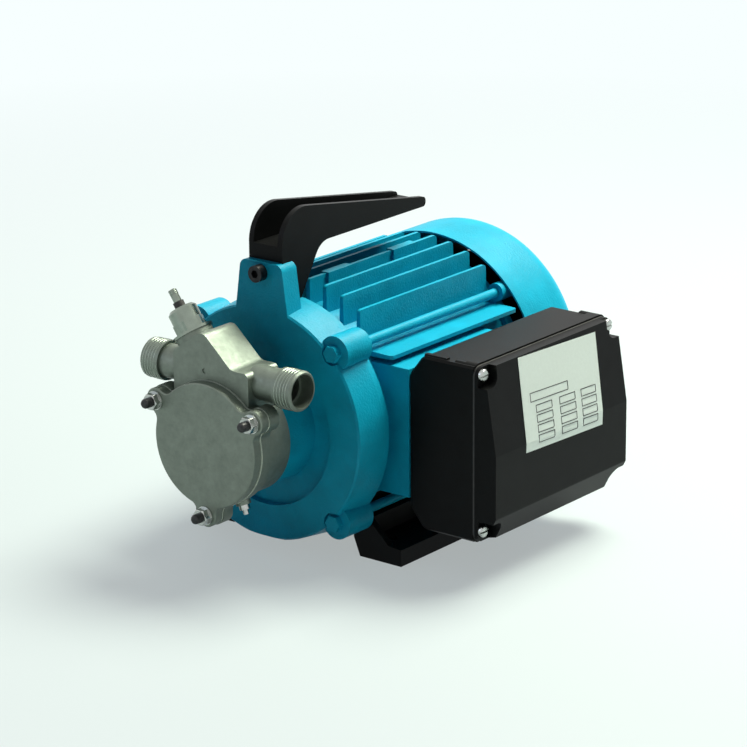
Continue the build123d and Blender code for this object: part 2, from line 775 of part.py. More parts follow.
def tie_nuts():
    nuts = []
    for x, z in corners(BOLT_OFFSET):
        nut = hexagon_y(TIE_HEAD_FLATS, REAR_LUG_END, REAR_LUG_END + TIE_NUT_HEIGHT, x, z)
        nuts.append(nut - rod_y(TIE_RADIUS, REAR_LUG_END, REAR_LUG_END + TIE_NUT_HEIGHT, x, z))
    return group(nuts)


def bearing_outer(front):
    rear = front + BEARING_WIDTH
    edge = BEARING_EDGE
    return turned([
        (front, BEARING_SPLIT),
        (front, BEARING_RADIUS - edge),
        (front + edge, BEARING_RADIUS),
        (rear - edge, BEARING_RADIUS),
        (rear, BEARING_RADIUS - edge),
        (rear, BEARING_SPLIT),
    ])


def bearing_inner(front):
    rear = front + BEARING_WIDTH
    return ring_y(BEARING_SPLIT - RUNNING_FIT, BEARING_BORE, front, rear)


def wave_washer():
    """Thin spring washer behind the rear bearing, drawn flat as it is when fitted."""
    front = REAR_BEARING + BEARING_WIDTH
    return ring_y(BEARING_RADIUS - LOOSE_FIT, BEARING_SPLIT + SINK, front, front + WAVE_WASHER)


def shaft():
    chamfer = SHAFT_CHAMFER
    tip = IMPELLER_FRONT + SHAFT_SETBACK
    nose = SEAL_CAVITY_BACK + SEAT_THICKNESS + SHAFT_STEP
    rear_journal = REAR_BEARING + BEARING_WIDTH
    fan_end = FAN_REAR + SHAFT_TAIL
    return turned([
        (tip, 0),
        (tip, PUMP_SHAFT - chamfer),
        (tip + chamfer, PUMP_SHAFT),
        (nose, PUMP_SHAFT),
        (nose, SHAFT_NOSE),
        (FRONT_BEARING, SHAFT_NOSE),
        (FRONT_BEARING, BEARING_BORE),
        (FRONT_BEARING + BEARING_WIDTH, BEARING_BORE),
        (FRONT_BEARING + BEARING_WIDTH, SHAFT_BODY),
        (REAR_BEARING, SHAFT_BODY),
        (REAR_BEARING, BEARING_BORE),
        (rear_journal, BEARING_BORE),
        (rear_journal, FAN_SHAFT),
        (fan_end - chamfer, FAN_SHAFT),
        (fan_end, FAN_SHAFT - chamfer),
        (fan_end, 0),
    ]) - clip_groove() - drive_pin()


def clip_groove():
    return ring_y(FAN_SHAFT + SINK, FAN_SHAFT - CLIP_GROOVE, FAN_REAR, FAN_REAR + CLIP_WIDTH)


def fan_clip():
    return ring_y(CLIP_RADIUS, FAN_SHAFT - CLIP_GROOVE, FAN_REAR, FAN_REAR + CLIP_WIDTH)


def drive_pin():
    """Cross pin that turns the impeller's sleeve."""
    y = (IMPELLER_FRONT + IMPELLER_REAR) / 2
    reach = IMPELLER_SLEEVE - KEY_SETBACK
    return rod_x(KEY_RADIUS, -reach, reach, y)


def core_span():
    return CORE_CENTRE - CORE_LENGTH / 2, CORE_CENTRE + CORE_LENGTH / 2


def stator_core():
    front, rear = core_span()
    return ring_y(SHELL_BORE - RUNNING_FIT, CORE_BORE, front, rear)


def stator_windings():
    front, rear = core_span()
    soft = WINDING_ROUND
    rings = []
    for base, side in ((front, -1), (rear, 1)):
        end = base + side * WINDING_REACH
        rings.append(turned([
            (base, WINDING_INNER),
            (base, WINDING_OUTER),
            (end - side * soft, WINDING_OUTER),
            (end, WINDING_OUTER - soft),
            (end, WINDING_INNER + soft),
            (end - side * soft, WINDING_INNER),
        ]))
    return group(rings)


def rotor_core():
    front, rear = core_span()
    return turned([
        (front - END_RING_WIDTH, END_RING_INNER),
        (front - END_RING_WIDTH, CORE_BORE - END_RING_SETBACK),
        (front, CORE_BORE - END_RING_SETBACK),
        (front, CORE_BORE - AIR_GAP),
        (rear, CORE_BORE - AIR_GAP),
        (rear, CORE_BORE - END_RING_SETBACK),
        (rear + END_RING_WIDTH, CORE_BORE - END_RING_SETBACK),
        (rear + END_RING_WIDTH, END_RING_INNER),
        (rear, END_RING_INNER),
        (rear, SHAFT_BODY),
        (front, SHAFT_BODY),
        (front, END_RING_INNER),
    ])


def cooling_fan():
    fan = ring_y(FAN_HUB, FAN_SHAFT, FAN_FRONT, FAN_REAR)
    fan += ring_y(FAN_RADIUS - FAN_DISC_SETBACK, FAN_HUB - SINK, FAN_REAR - FAN_DISC, FAN_REAR)
    for number in range(FAN_BLADES):
        blade = block(
            (FAN_HUB - SINK, FAN_FRONT, -FAN_BLADE / 2),
            (FAN_RADIUS, FAN_REAR, FAN_BLADE / 2),
        )
        fan += on_axis(Rot(0, number * 360 / FAN_BLADES, 0) * blade)
    return fan


def base_foot():
    """Moulded foot: two flanges with gussets, joined by a saddle under the frame."""
    half = FOOT_WIDTH / 2
    rear = FOOT_LENGTH / 2
    low = -SHAFT_HEIGHT
    outline = [
        (-half, low), (-half, low + FOOT_FLANGE), (-FOOT_WEB_OUTER, low + FOOT_FLANGE + FOOT_FLANGE_RISE),
        (-FOOT_WEB_OUTER, low + FOOT_SHOULDER), (-FOOT_TOP_INNER, low + FOOT_SHOULDER),
        (-FOOT_TOP_INNER, low + FOOT_TOP), (FOOT_TOP_INNER, low + FOOT_TOP),
        (FOOT_TOP_INNER, low + FOOT_SHOULDER), (FOOT_WEB_OUTER, low + FOOT_SHOULDER),
        (FOOT_WEB_OUTER, low + FOOT_FLANGE + FOOT_FLANGE_RISE), (half, low + FOOT_FLANGE), (half, low),
    ]
    foot = prism_y(outline, -rear, rear)
    foot -= rod_y(SHELL_RADIUS, -rear, rear)
    # The arch under the foot leaves a strap of even thickness under the frame
    arch = prism_y([
        (-FOOT_INNER, low), (-FOOT_WALL_INNER, low + FOOT_WALL_RISE), (-FOOT_WALL_INNER, 0),
        (FOOT_WALL_INNER, 0), (FOOT_WALL_INNER, low + FOOT_WALL_RISE), (FOOT_INNER, low),
    ], -rear, rear)
    foot -= arch - rod_y(SHELL_RADIUS + FOOT_STRAP, -rear, rear)
    for side in (-1, 1):
        for y in (-rear + FOOT_GUSSET / 2, 0, rear - FOOT_GUSSET / 2):
            rib = [
                (side * (FOOT_WEB_OUTER - SINK), low + FOOT_FLANGE),
                (side * (FOOT_WEB_OUTER + FOOT_GUSSET_RUN), low + FOOT_FLANGE),
                (side * (FOOT_WEB_OUTER - SINK), low + FOOT_FLANGE + FOOT_GUSSET_RISE),
            ]
            foot += prism_y(rib, y - FOOT_GUSSET / 2, y + FOOT_GUSSET / 2)
    for x in (-FOOT_SPACING_X / 2, FOOT_SPACING_X / 2):
        for y in (-FOOT_SPACING_Y / 2, FOOT_SPACING_Y / 2):
            foot -= rod_z(FOOT_HOLE, -SINK, FOOT_TOP, x, y)
    for x in (-FOOT_SCREW_X, FOOT_SCREW_X):
        for y in (-FOOT_SCREW_Y, FOOT_SCREW_Y):
            foot -= rod_z(FOOT_SCREW_RADIUS, 0, foot_screw_top(), x, y)
            foot -= rod_z(FOOT_SCREW_HEAD + LOOSE_FIT, 0, foot_screw_seat(), x, y)
    return foot


def foot_screw_seat():
    return saddle_height(FOOT_SCREW_X, SHELL_RADIUS + FOOT_STRAP) + FOOT_SCREW_SINK


def foot_screws():
    screws = []
    for x in (-FOOT_SCREW_X, FOOT_SCREW_X):
        for y in (-FOOT_SCREW_Y, FOOT_SCREW_Y):
            seat = foot_screw_seat()
            head = rod_z(FOOT_SCREW_HEAD, seat - FOOT_SCREW_HEAD_HEIGHT, seat, x, y)
            shank = rod_z(FOOT_SCREW_RADIUS, seat, foot_screw_top(), x, y)
            screws.append(head + shank)
    return group(screws)


def handle():
    """Moulded channel, open on top and in front, on a wedge-shaped leg."""
    front = DISC_FRONT + BRACKET_WALL
    rear = front + HANDLE_REACH
    slope = (HANDLE_FRONT_HEIGHT - HANDLE_REAR_HEIGHT) / HANDLE_REACH
    outline = [
        (front, RIM_RADIUS + LOOSE_FIT),
        (front, HANDLE_FRONT_HEIGHT),
        (rear, HANDLE_REAR_HEIGHT),
        (rear, HANDLE_UNDERSIDE),
        (front + HANDLE_LEG_TOP, HANDLE_UNDERSIDE),
        (front + HANDLE_LEG_FOOT, RIM_RADIUS + LOOSE_FIT),
    ]
    roundings = (
        (1, HANDLE_FRONT_ROUNDING),
        (2, HANDLE_TIP_ROUNDING),
        (3, HANDLE_TIP_ROUNDING - slope),
        (4, HANDLE_HOLLOW_ROUNDING),
    )
    half = HANDLE_WIDTH / 2
    body = prism_x(outline, -half, half, roundings)
    channel = block(
        (-half + HANDLE_WALL, front - SINK, SHAFT_HEIGHT + HANDLE_UNDERSIDE + HANDLE_FLOOR),
        (half - HANDLE_WALL, rear + SINK, SHAFT_HEIGHT + HANDLE_FRONT_HEIGHT + SINK),
    )
    body -= channel
    screw_end = DISC_FRONT + HANDLE_SCREW_LENGTH
    return body - rod_y(HANDLE_SCREW_RADIUS, front, screw_end, 0, HANDLE_SCREW_HEIGHT)


def handle_screw():
    head_front = DISC_FRONT - HANDLE_SCREW_HEAD_HEIGHT
    head = rod_y(HANDLE_SCREW_HEAD, head_front, DISC_FRONT, 0, HANDLE_SCREW_HEIGHT)
    shank = rod_y(HANDLE_SCREW_RADIUS, DISC_FRONT, DISC_FRONT + HANDLE_SCREW_LENGTH, 0, HANDLE_SCREW_HEIGHT)
    socket_end = head_front + HANDLE_SCREW_SOCKET_DEPTH
    socket = hexagon_y(HANDLE_SCREW_SOCKET, head_front, socket_end, 0, HANDLE_SCREW_HEIGHT)
    return head + shank - socket


def box_outline(inset=0.0):
    """Section of the box base, (x, height) points, drawn in by a wall's thickness."""
    back = PAD_REACH + inset
    return [
        (back, BOX_TOP - BOX_CORNER_RISE - inset / 2),
        (back + BOX_CORNER_RUN - inset / 2, BOX_TOP - inset),
        (BOX_PARTING, BOX_TOP - inset),
        (BOX_PARTING, BOX_BOTTOM + inset),
        (back + BOX_CORNER_RUN - inset / 2, BOX_BOTTOM + inset),
        (back, BOX_BOTTOM + BOX_CORNER_RISE + inset / 2),
    ]


def lid_screw_places():
    return [
        (y, z)
        for y in (BOX_FRONT + BOX_SCREW_INSET_Y, LID_REAR - BOX_SCREW_INSET_Y)
        for z in (BOX_TOP - BOX_SCREW_INSET_TOP, BOX_BOTTOM + BOX_SCREW_INSET_FOOT)
    ]


def box_fixing_places():
    return [
        (pad_centre() + y, z)
        for y in (-FIXING_SPACING_Y / 2, FIXING_SPACING_Y / 2)
        for z in (-FIXING_SPACING_Z / 2, FIXING_SPACING_Z / 2)
    ]


def lid_screw_end():
    return lid_seat() - BOX_SCREW_LENGTH


def lid_seat():
    return BOX_PARTING + BOX_GASKET + LID_SEAT


def rim_plate(left, right, grow=0.0):
    """Plate as large as the rim of the box, with its corners rounded off."""
    low, high = SHAFT_HEIGHT + BOX_BOTTOM - grow, SHAFT_HEIGHT + BOX_TOP + grow
    plate = block((left, BOX_FRONT, low), (right, LID_REAR, high))
    return fillet(plate.edges().filter_by(Axis.X), BOX_RIM_ROUNDING)


def front_lug(left, right):
    """Sloped lug on the top front edge of the box base."""
    return prism_x([
        (BOX_FRONT, BOX_TOP - BOX_LUG_HEIGHT),
        (BOX_FRONT + BOX_LUG_DEPTH, BOX_TOP + BOX_LUG_RISE),
        (BOX_FRONT + 2 * BOX_LUG_DEPTH, BOX_TOP + BOX_LUG_RISE),
        (BOX_FRONT + 2 * BOX_LUG_DEPTH, BOX_TOP - BOX_LUG_HEIGHT),
    ], left, right)


def box_base():
    roundings = [(number, BOX_CORNER_ROUNDING) for number in (0, 1, 4, 5)]
    base = prism_y(box_outline(), BOX_FRONT, BOX_REAR, roundings)
    edge = base.edges().filter_by(Axis.X).sort_by(Axis.Z)[-2:].sort_by(Axis.Y)[0]
    base = chamfer(edge, BOX_LUG_DEPTH / 2)
    base += rim_plate(BOX_PARTING - BOX_RIM_WIDTH, BOX_PARTING, BOX_RIM_RISE)
    base -= prism_y(box_outline(BOX_WALL), BOX_FRONT + BOX_WALL, BOX_REAR - BOX_WALL)
    for y, z in lid_screw_places():
        base += rod_x(BOX_POST, lid_screw_end() - BOX_WALL, BOX_PARTING, y, z) & rim_plate(
            PAD_REACH, BOX_PARTING, BOX_RIM_RISE)
    lug_left = PAD_REACH + BOX_CORNER_RUN
    base += front_lug(lug_left, lug_left + BOX_LUG_WIDTH)
    for y, z in lid_screw_places():
        base -= rod_x(BOX_SCREW_RADIUS, lid_screw_end(), BOX_PARTING, y, z)
    for y, z in box_fixing_places():
        base -= rod_x(FIXING_SCREW_RADIUS + LOOSE_FIT, PAD_REACH, PAD_REACH + BOX_WALL, y, z)
    base -= rod_x(PAD_WIRE_HOLE, PAD_REACH, PAD_REACH + BOX_WALL, pad_centre())
    base -= rod_y(GLAND_THREAD + LOOSE_FIT, BOX_REAR - BOX_WALL, BOX_REAR, GLAND_REACH, GLAND_HEIGHT)
    return base


def box_gasket():
    left, right = BOX_PARTING, BOX_PARTING + BOX_GASKET
    outer = rim_plate(left, right)
    inner = block(
        (left, BOX_FRONT + BOX_WALL, SHAFT_HEIGHT + BOX_BOTTOM + BOX_WALL),
        (right, BOX_REAR - BOX_WALL, SHAFT_HEIGHT + BOX_TOP - BOX_WALL),
    )
    ring = outer - inner
    for y, z in lid_screw_places():
        ring += rod_x(BOX_POST, left, right, y, z) & outer
    for y, z in lid_screw_places():
        ring -= rod_x(BOX_SCREW_RADIUS + LOOSE_FIT, left, right, y, z)
    return ring


def lid_outline(inset=0.0):
    """Section of the lid, with its fold and the bevel under it."""
    left = BOX_PARTING + BOX_GASKET
    return [
        (left, BOX_TOP - inset),
        (left + LID_TOP_REACH - inset, BOX_TOP - inset),
        (left + LID_FOLD_REACH - inset, LID_FOLD_HEIGHT),
        (left + LID_FOLD_REACH - inset, LID_BEVEL_HEIGHT),
        (left + LID_FOOT_REACH - inset, LID_FOOT_HEIGHT + inset),
        (left, BOX_BOTTOM + inset),
    ]


def lid_corner(y, z):
    """Room round one lid screw, round towards the lid and open to its corner."""
    side_y = -1 if y < BOX_FRONT + BOX_LENGTH / 2 else 1
    side_z = -1 if z < 0 else 1
    low_y, high_y = sorted((y, y + side_y * 2 * LID_NOTCH))
    low_z, high_z = sorted((z, z + side_z * 2 * LID_NOTCH))
    left, right = lid_seat(), lid_seat() + LID_FOLD_REACH
    height = SHAFT_HEIGHT + z
    room = rod_x(LID_NOTCH, left, right, y, z)
    room += block((left, low_y, height - LID_NOTCH), (right, high_y, height + LID_NOTCH))
    low_z, high_z = SHAFT_HEIGHT + low_z, SHAFT_HEIGHT + high_z
    return room + block((left, y - LID_NOTCH, low_z), (right, y + LID_NOTCH, high_z))


def box_lid():
    lid = prism_y(lid_outline(), BOX_FRONT, LID_REAR, ((3, LID_BEVEL_ROUNDING),))
    lid &= rim_plate(BOX_PARTING + BOX_GASKET, BOX_PARTING + 2 * LID_FOLD_REACH)
    for y, z in lid_screw_places():
        lid -= lid_corner(y, z)
    room = 2 * LID_NOTCH + LID_WALL
    lid -= prism_y(lid_outline(LID_WALL), BOX_FRONT + room, LID_REAR - room)
    for y, z in lid_screw_places():
        lid -= rod_x(BOX_SCREW_RADIUS + LOOSE_FIT, BOX_PARTING + BOX_GASKET, lid_seat(), y, z)
    return lid


def lid_screws():
    screws = []
    for y, z in lid_screw_places():
        shank = rod_x(BOX_SCREW_RADIUS, lid_screw_end(), lid_seat(), y, z)
        head = rod_x(BOX_SCREW_HEAD, lid_seat(), lid_seat() + BOX_SCREW_HEAD_HEIGHT, y, z)
        rim = head.faces().sort_by(Axis.X)[-1].edges()
        head = fillet(rim, BOX_SCREW_HEAD_HEIGHT / 2)
        top = lid_seat() + BOX_SCREW_HEAD_HEIGHT
        slot = block(
            (top - BOX_SCREW_SLOT, y - BOX_SCREW_HEAD, SHAFT_HEIGHT + z - BOX_SCREW_SLOT / 2),
            (top + BOX_SCREW_SLOT, y + BOX_SCREW_HEAD, SHAFT_HEIGHT + z + BOX_SCREW_SLOT / 2),
        )
        screws.append(shank + head - slot)
    return group(screws)


def box_screws():
    """Screws that hold the box base on the pad of the frame."""
    screws = []
    seat = PAD_REACH + BOX_WALL
    for y, z in box_fixing_places():
        shank = rod_x(FIXING_SCREW_RADIUS, PAD_REACH - FIXING_SCREW_BITE, seat, y, z)
        head = rod_x(FIXING_SCREW_HEAD, seat, seat + FIXING_SCREW_HEAD_HEIGHT, y, z)
        screws.append(shank + head)
    return group(screws)


def capacitor_front():
    return BOX_FRONT + (BOX_LENGTH - CAPACITOR_LENGTH) / 2


def capacitor():
    front = capacitor_front()
    rear = front + CAPACITOR_LENGTH
    can = rod_y(CAPACITOR_RADIUS, front, rear, CAPACITOR_REACH, CAPACITOR_HEIGHT)
    can = fillet(can.edges().filter_by(GeomType.CIRCLE), CAPACITOR_EDGE)
    stud = rod_y(CAPACITOR_STUD, rear, rear + CAPACITOR_STUD_LENGTH, CAPACITOR_REACH, CAPACITOR_HEIGHT)
    return can + stud


def capacitor_saddle():
    """Cradle between the back wall of the box and the capacitor."""
    middle = BOX_FRONT + BOX_LENGTH / 2
    half = CAPACITOR_SADDLE / 2
    low = SHAFT_HEIGHT + CAPACITOR_HEIGHT - SADDLE_DROP
    high = SHAFT_HEIGHT + CAPACITOR_HEIGHT + SADDLE_RISE
    cradle = block((PAD_REACH + BOX_WALL, middle - half, low), (CAPACITOR_REACH, middle + half, high))
    return cradle - rod_y(CAPACITOR_RADIUS, middle - half, middle + half, CAPACITOR_REACH, CAPACITOR_HEIGHT)


def terminal_block():
    left = PAD_REACH + BOX_WALL
    front = pad_centre() - TERMINAL_LENGTH / 2
    low = SHAFT_HEIGHT + TERMINAL_HEIGHT
    body = block((left, front, low), (left + TERMINAL_DEPTH, front + TERMINAL_LENGTH, low + TERMINAL_WIDTH))
    pitch = TERMINAL_LENGTH / TERMINAL_WAYS
    for number in range(TERMINAL_WAYS):
        y = front + pitch * (number + 0.5)
        right = left + TERMINAL_DEPTH
        height = TERMINAL_HEIGHT + TERMINAL_WIDTH / 2
        body -= rod_x(TERMINAL_POCKET, right - TERMINAL_POCKET_DEPTH, right, y, height)
    return body


def cable_gland():
    """Gland body with its lock nut inside the wall of the box."""
    collar_rear = BOX_REAR + GLAND_COLLAR
    inside = BOX_REAR - BOX_WALL - GLAND_LOCKNUT - SINK
    body = rod_y(GLAND_THREAD, inside, collar_rear + GLAND_COLLAR, GLAND_REACH, GLAND_HEIGHT)
    body += hexagon_y(GLAND_FLATS, BOX_REAR, collar_rear, GLAND_REACH, GLAND_HEIGHT)
    return body - rod_y(GLAND_BORE, inside, collar_rear + GLAND_COLLAR, GLAND_REACH, GLAND_HEIGHT)


def gland_nut():
    front = BOX_REAR + GLAND_COLLAR
    rear = front + GLAND_NUT_LENGTH
    nut = hexagon_y(GLAND_FLATS, front, rear, GLAND_REACH, GLAND_HEIGHT)
    dome = Pos(GLAND_REACH, front, SHAFT_HEIGHT + GLAND_HEIGHT) * Sphere(GLAND_NUT_LENGTH)
    nut = nut & dome
    nut -= rod_y(GLAND_THREAD, front, front + GLAND_COLLAR, GLAND_REACH, GLAND_HEIGHT)
    return nut - rod_y(GLAND_BORE, front, rear, GLAND_REACH, GLAND_HEIGHT)


def gland_locknut():
    rear = BOX_REAR - BOX_WALL
    nut = hexagon_y(GLAND_FLATS, rear - GLAND_LOCKNUT, rear, GLAND_REACH, GLAND_HEIGHT)
    return nut - rod_y(GLAND_THREAD, rear - GLAND_LOCKNUT, rear, GLAND_REACH, GLAND_HEIGHT)


def stud_places():
    return [polar(STUD_CIRCLE, angle) for angle in STUD_ANGLES]


def eared_disc(radius, ear, front, rear):
    """Round plate with an ear at each stud, blended into the rim."""
    sketch = Circle(radius)
    for x, z in stud_places():
        sketch += Pos(x, z) * Circle(ear)
    sketch = fillet(sketch.vertices(), EAR_BLEND)
    return Pos(0, rear, SHAFT_HEIGHT) * Rot(90, 0, 0) * extrude(sketch, rear - front)


def pump_cover():
    cover = eared_disc(PUMP_RADIUS, EAR_RADIUS, COVER_FRONT, GASKET_FRONT)
    rim = cover.faces().sort_by(Axis.Y)[0].edges()
    cover = chamfer(rim, COVER_EDGE)
    for x, z in stud_places():
        cover -= rod_y(STUD_RADIUS + LOOSE_FIT, COVER_FRONT, GASKET_FRONT, x, z)
    return cover


def cover_gasket():
    ring = eared_disc(PUMP_RADIUS + GASKET_LIP, EAR_RADIUS, GASKET_FRONT, BODY_FRONT)
    ring -= rod_y(CHAMBER_RADIUS + SOFT_FIT, GASKET_FRONT, BODY_FRONT)
    for x, z in stud_places():
        ring -= rod_y(STUD_RADIUS + LOOSE_FIT, GASKET_FRONT, BODY_FRONT, x, z)
    return ring


def head_outline():
    return [
        (HEAD_LEFT, 0),
        (HEAD_LEFT, HEAD_LEFT_EAVE),
        (HEAD_APEX_X, HEAD_APEX),
        (HEAD_VALLEY_X, HEAD_SHOULDER),
        (HEAD_RIGHT, HEAD_SHOULDER),
        (HEAD_RIGHT, 0),
    ]


def valve_frame(rise):
    """Placement whose Z runs up the valve's axis, from a height over the left slope."""
    run = HEAD_APEX_X - HEAD_LEFT
    climb = HEAD_APEX - HEAD_LEFT_EAVE
    lean = math.degrees(math.atan2(climb, run))
    middle_x = (HEAD_LEFT + HEAD_APEX_X) / 2
    middle_z = (HEAD_LEFT_EAVE + HEAD_APEX) / 2
    middle = Pos(middle_x, PORT_Y, SHAFT_HEIGHT + middle_z)
    return middle * Rot(0, -lean, 0) * Pos(-VALVE_SLIDE, 0, rise)


def valve_rod(radius, low, high):
    """Round bar on the valve's axis, between two heights over the slope."""
    return valve_frame((low + high) / 2) * Cylinder(radius, high - low)


def port(side):
    """Neck and threaded end of one port."""
    wall = HEAD_RIGHT if side > 0 else HEAD_LEFT
    thread_start = side * (PORT_END - PORT_THREAD_LENGTH)
    low, high = sorted((wall - side * PORT_ROOT, thread_start))
    neck = rod_x(PORT_NECK, low, high, PORT_Y, PORT_HEIGHT)
    low, high = sorted((thread_start, side * PORT_END))
    thread = rod_x(PORT_THREAD, low, high, PORT_Y, PORT_HEIGHT)
    mouth = thread.faces().sort_by(Axis.X)[-1 if side > 0 else 0].edges()
    return neck + chamfer(mouth, PORT_CHAMFER)


def pump_body():
    """Casting with the impeller chamber, the ridged head, two ports and the spigot."""
    body = eared_disc(PUMP_RADIUS, BODY_EAR_RADIUS, BODY_FRONT, BODY_FRONT + BODY_EAR_DEPTH)
    body += rod_y(PUMP_BARREL, BODY_FRONT, NOSE_FRONT)
    body += prism_y(head_outline(), BODY_FRONT, NOSE_FRONT, (
        (1, HEAD_CORNER_ROUNDING),
        (2, HEAD_APEX_ROUNDING),
        (3, HEAD_VALLEY_ROUNDING),
        (4, HEAD_CORNER_ROUNDING),
    ))
    body += port(-1)
    body += port(1)
    body += valve_rod(VALVE_BOSS_RADIUS, -VALVE_BOSS_ROOT, VALVE_BOSS_HEIGHT)
    body += rod_y(SPIGOT_RADIUS, NOSE_FRONT, SPIGOT_REAR)
    body += drain_rod(DRAIN_BOSS, CHAMBER_RADIUS + SINK, DRAIN_BOSS_REACH)
    body -= rod_y(CHAMBER_RADIUS, BODY_FRONT, CHAMBER_BACK)
    body -= rod_y(SEAL_CAVITY, CHAMBER_BACK, SEAL_CAVITY_BACK)
    body -= rod_y(SEAT_RADIUS, SEAL_CAVITY_BACK, SEAL_CAVITY_BACK + SEAT_THICKNESS)
    body -= rod_y(SPIGOT_BORE, SEAL_CAVITY_BACK, SPIGOT_REAR)
    passage_y = BODY_FRONT + PASSAGE_SETBACK
    for side in (-1, 1):
        low, high = sorted((side * PORT_INNER_END, side * (PORT_END + SINK)))
        body -= rod_x(PORT_BORE, low, high, PORT_Y, PORT_HEIGHT)
        low, high = sorted((side * (PORT_END - PORT_MOUTH_DEPTH), side * (PORT_END + SINK)))
        body -= rod_x(PORT_MOUTH, low, high, PORT_Y, PORT_HEIGHT)
        body -= rod_z(PASSAGE_RADIUS, SHAFT_HEIGHT + CHAMBER_RADIUS / 2, SHAFT_HEIGHT + PORT_HEIGHT,
                      side * PASSAGE_X, passage_y)
    body -= valve_rod(VALVE_THREAD, VALVE_BOSS_HEIGHT - VALVE_THREAD_LENGTH, VALVE_BOSS_HEIGHT)
    body -= valve_passage()
    for x, z in stud_places():
        body -= rod_y(STUD_RADIUS, BODY_FRONT, BODY_FRONT + STUD_BITE, x, z)
    for x, z in body_screw_places():
        body -= rod_y(BODY_SCREW_RADIUS + LOOSE_FIT, CHAMBER_BACK, NOSE_FRONT, x, z)
        body -= rod_y(BODY_SCREW_HEAD + LOOSE_FIT, CHAMBER_BACK, CHAMBER_BACK + BODY_SCREW_HEAD_HEIGHT, x, z)
    body -= rod_z(CAM_SCREW_RADIUS, SHAFT_HEIGHT + CAM_RADIUS, cam_screw_top(), 0, cam_screw_y())
    body -= drain_rod(DRAIN_THREAD, CHAMBER_RADIUS - SINK, DRAIN_BOSS_REACH + SINK)
    body -= rod_y(CASTING_MARK, BODY_FRONT, BODY_FRONT + CASTING_MARK_DEPTH, *CASTING_MARK_PLACE)
    return body


def valve_passage():
    """Upright drilling from the foot of the valve's thread down to the left port."""
    foot = valve_frame(VALVE_BOSS_HEIGHT - VALVE_THREAD_LENGTH).position
    low = SHAFT_HEIGHT + PORT_HEIGHT
    return rod_z(VALVE_PASSAGE, low, foot.Z + VALVE_PASSAGE, foot.X, foot.Y)


def cam_screw_y():
    return (IMPELLER_FRONT + IMPELLER_REAR) / 2


def cam_screw_top():
    return SHAFT_HEIGHT + CAM_RADIUS + CAM_SCREW_LENGTH


def drain_rod(radius, inner, outer):
    """Bar on the drain screw's axis, between two distances from the shaft."""
    y = BODY_FRONT + DRAIN_SETBACK
    bar = Pos((inner + outer) / 2, y, 0) * Rot(0, 90, 0) * Cylinder(radius, outer - inner)
    return on_axis(Rot(0, -DRAIN_ANGLE, 0) * bar)


def drain_screw():
    end = DRAIN_BOSS_REACH + DRAIN_HEAD_HEIGHT
    screw = drain_rod(DRAIN_THREAD, CHAMBER_RADIUS + SINK, DRAIN_BOSS_REACH)
    screw += drain_rod(DRAIN_HEAD, DRAIN_BOSS_REACH, end)
    return screw + drain_rod(DRAIN_NIPPLE, end, end + DRAIN_NIPPLE_HEIGHT)


def cover_studs():
    studs = []
    for x, z in stud_places():
        stud = rod_y(STUD_RADIUS, COVER_FRONT - STUD_TIP, BODY_FRONT + STUD_BITE, x, z)
        tip = stud.faces().sort_by(Axis.Y)[0].edges()
        studs.append(fillet(tip, STUD_ROUNDING))
    return group(studs)


def cover_washers():
    rings = []
    front = COVER_FRONT - WASHER_THICKNESS
    for x, z in stud_places():
        ring = rod_y(WASHER_RADIUS, front, COVER_FRONT, x, z)
        rings.append(ring - rod_y(STUD_RADIUS, front, COVER_FRONT, x, z))
    return group(rings)


def cover_nuts():
    nuts = []
    rear = COVER_FRONT - WASHER_THICKNESS
    front = rear - NUT_HEIGHT
    for x, z in stud_places():
        nut = hexagon_y(NUT_FLATS, front, rear, x, z)
        crown = rod_y(NUT_CROWN, front, rear, x, z)
        crown = chamfer(crown.faces().sort_by(Axis.Y)[0].edges(), NUT_CHAMFER)
        nuts.append((nut & crown) - rod_y(STUD_RADIUS, front, rear, x, z))
    return group(nuts)


def body_screws():
    screws = []
    seat = CHAMBER_BACK + BODY_SCREW_HEAD_HEIGHT
    for x, z in body_screw_places():
        head = rod_y(BODY_SCREW_HEAD, CHAMBER_BACK, seat, x, z)
        shank = rod_y(BODY_SCREW_RADIUS, seat, body_screw_end(), x, z)
        screws.append(head + shank)
    return group(screws)


def wear_plate():
    front = CHAMBER_BACK - WEAR_PLATE
    plate = ring_y(CHAMBER_RADIUS - RUNNING_FIT, WEAR_PLATE_HOLE, front, CHAMBER_BACK)
    return plate


def cam():
    """Crescent on top of the chamber that squeezes the vanes between the two ports."""
    front = IMPELLER_FRONT
    rear = CHAMBER_BACK - WEAR_PLATE
    ring = ring_y(CHAMBER_RADIUS - RUNNING_FIT, CAM_RADIUS, front, rear)
    reach = CHAMBER_RADIUS + CAM_THICKNESS
    left = polar(reach, 90 + CAM_HALF_ANGLE)
    right = polar(reach, 90 - CAM_HALF_ANGLE)
    wedge = prism_y([(0, 0), left, (0, 2 * reach), right], front, rear)
    crescent = ring & wedge
    low = SHAFT_HEIGHT + CAM_RADIUS - CAM_THICKNESS
    crescent -= rod_z(CAM_SCREW_RADIUS + LOOSE_FIT, low, low + CAM_SCREW_LENGTH, 0, cam_screw_y())
    head_top = SHAFT_HEIGHT + CAM_RADIUS + CAM_SCREW_HEAD_HEIGHT
    return crescent - rod_z(CAM_SCREW_HEAD + LOOSE_FIT, low, head_top, 0, cam_screw_y())


def cam_screw():
    low = SHAFT_HEIGHT + CAM_RADIUS + SOFT_FIT
    head_top = SHAFT_HEIGHT + CAM_RADIUS + CAM_SCREW_HEAD_HEIGHT
    head = rod_z(CAM_SCREW_HEAD, low, head_top, 0, cam_screw_y())
    return head + rod_z(CAM_SCREW_RADIUS, head_top, cam_screw_top(), 0, cam_screw_y())


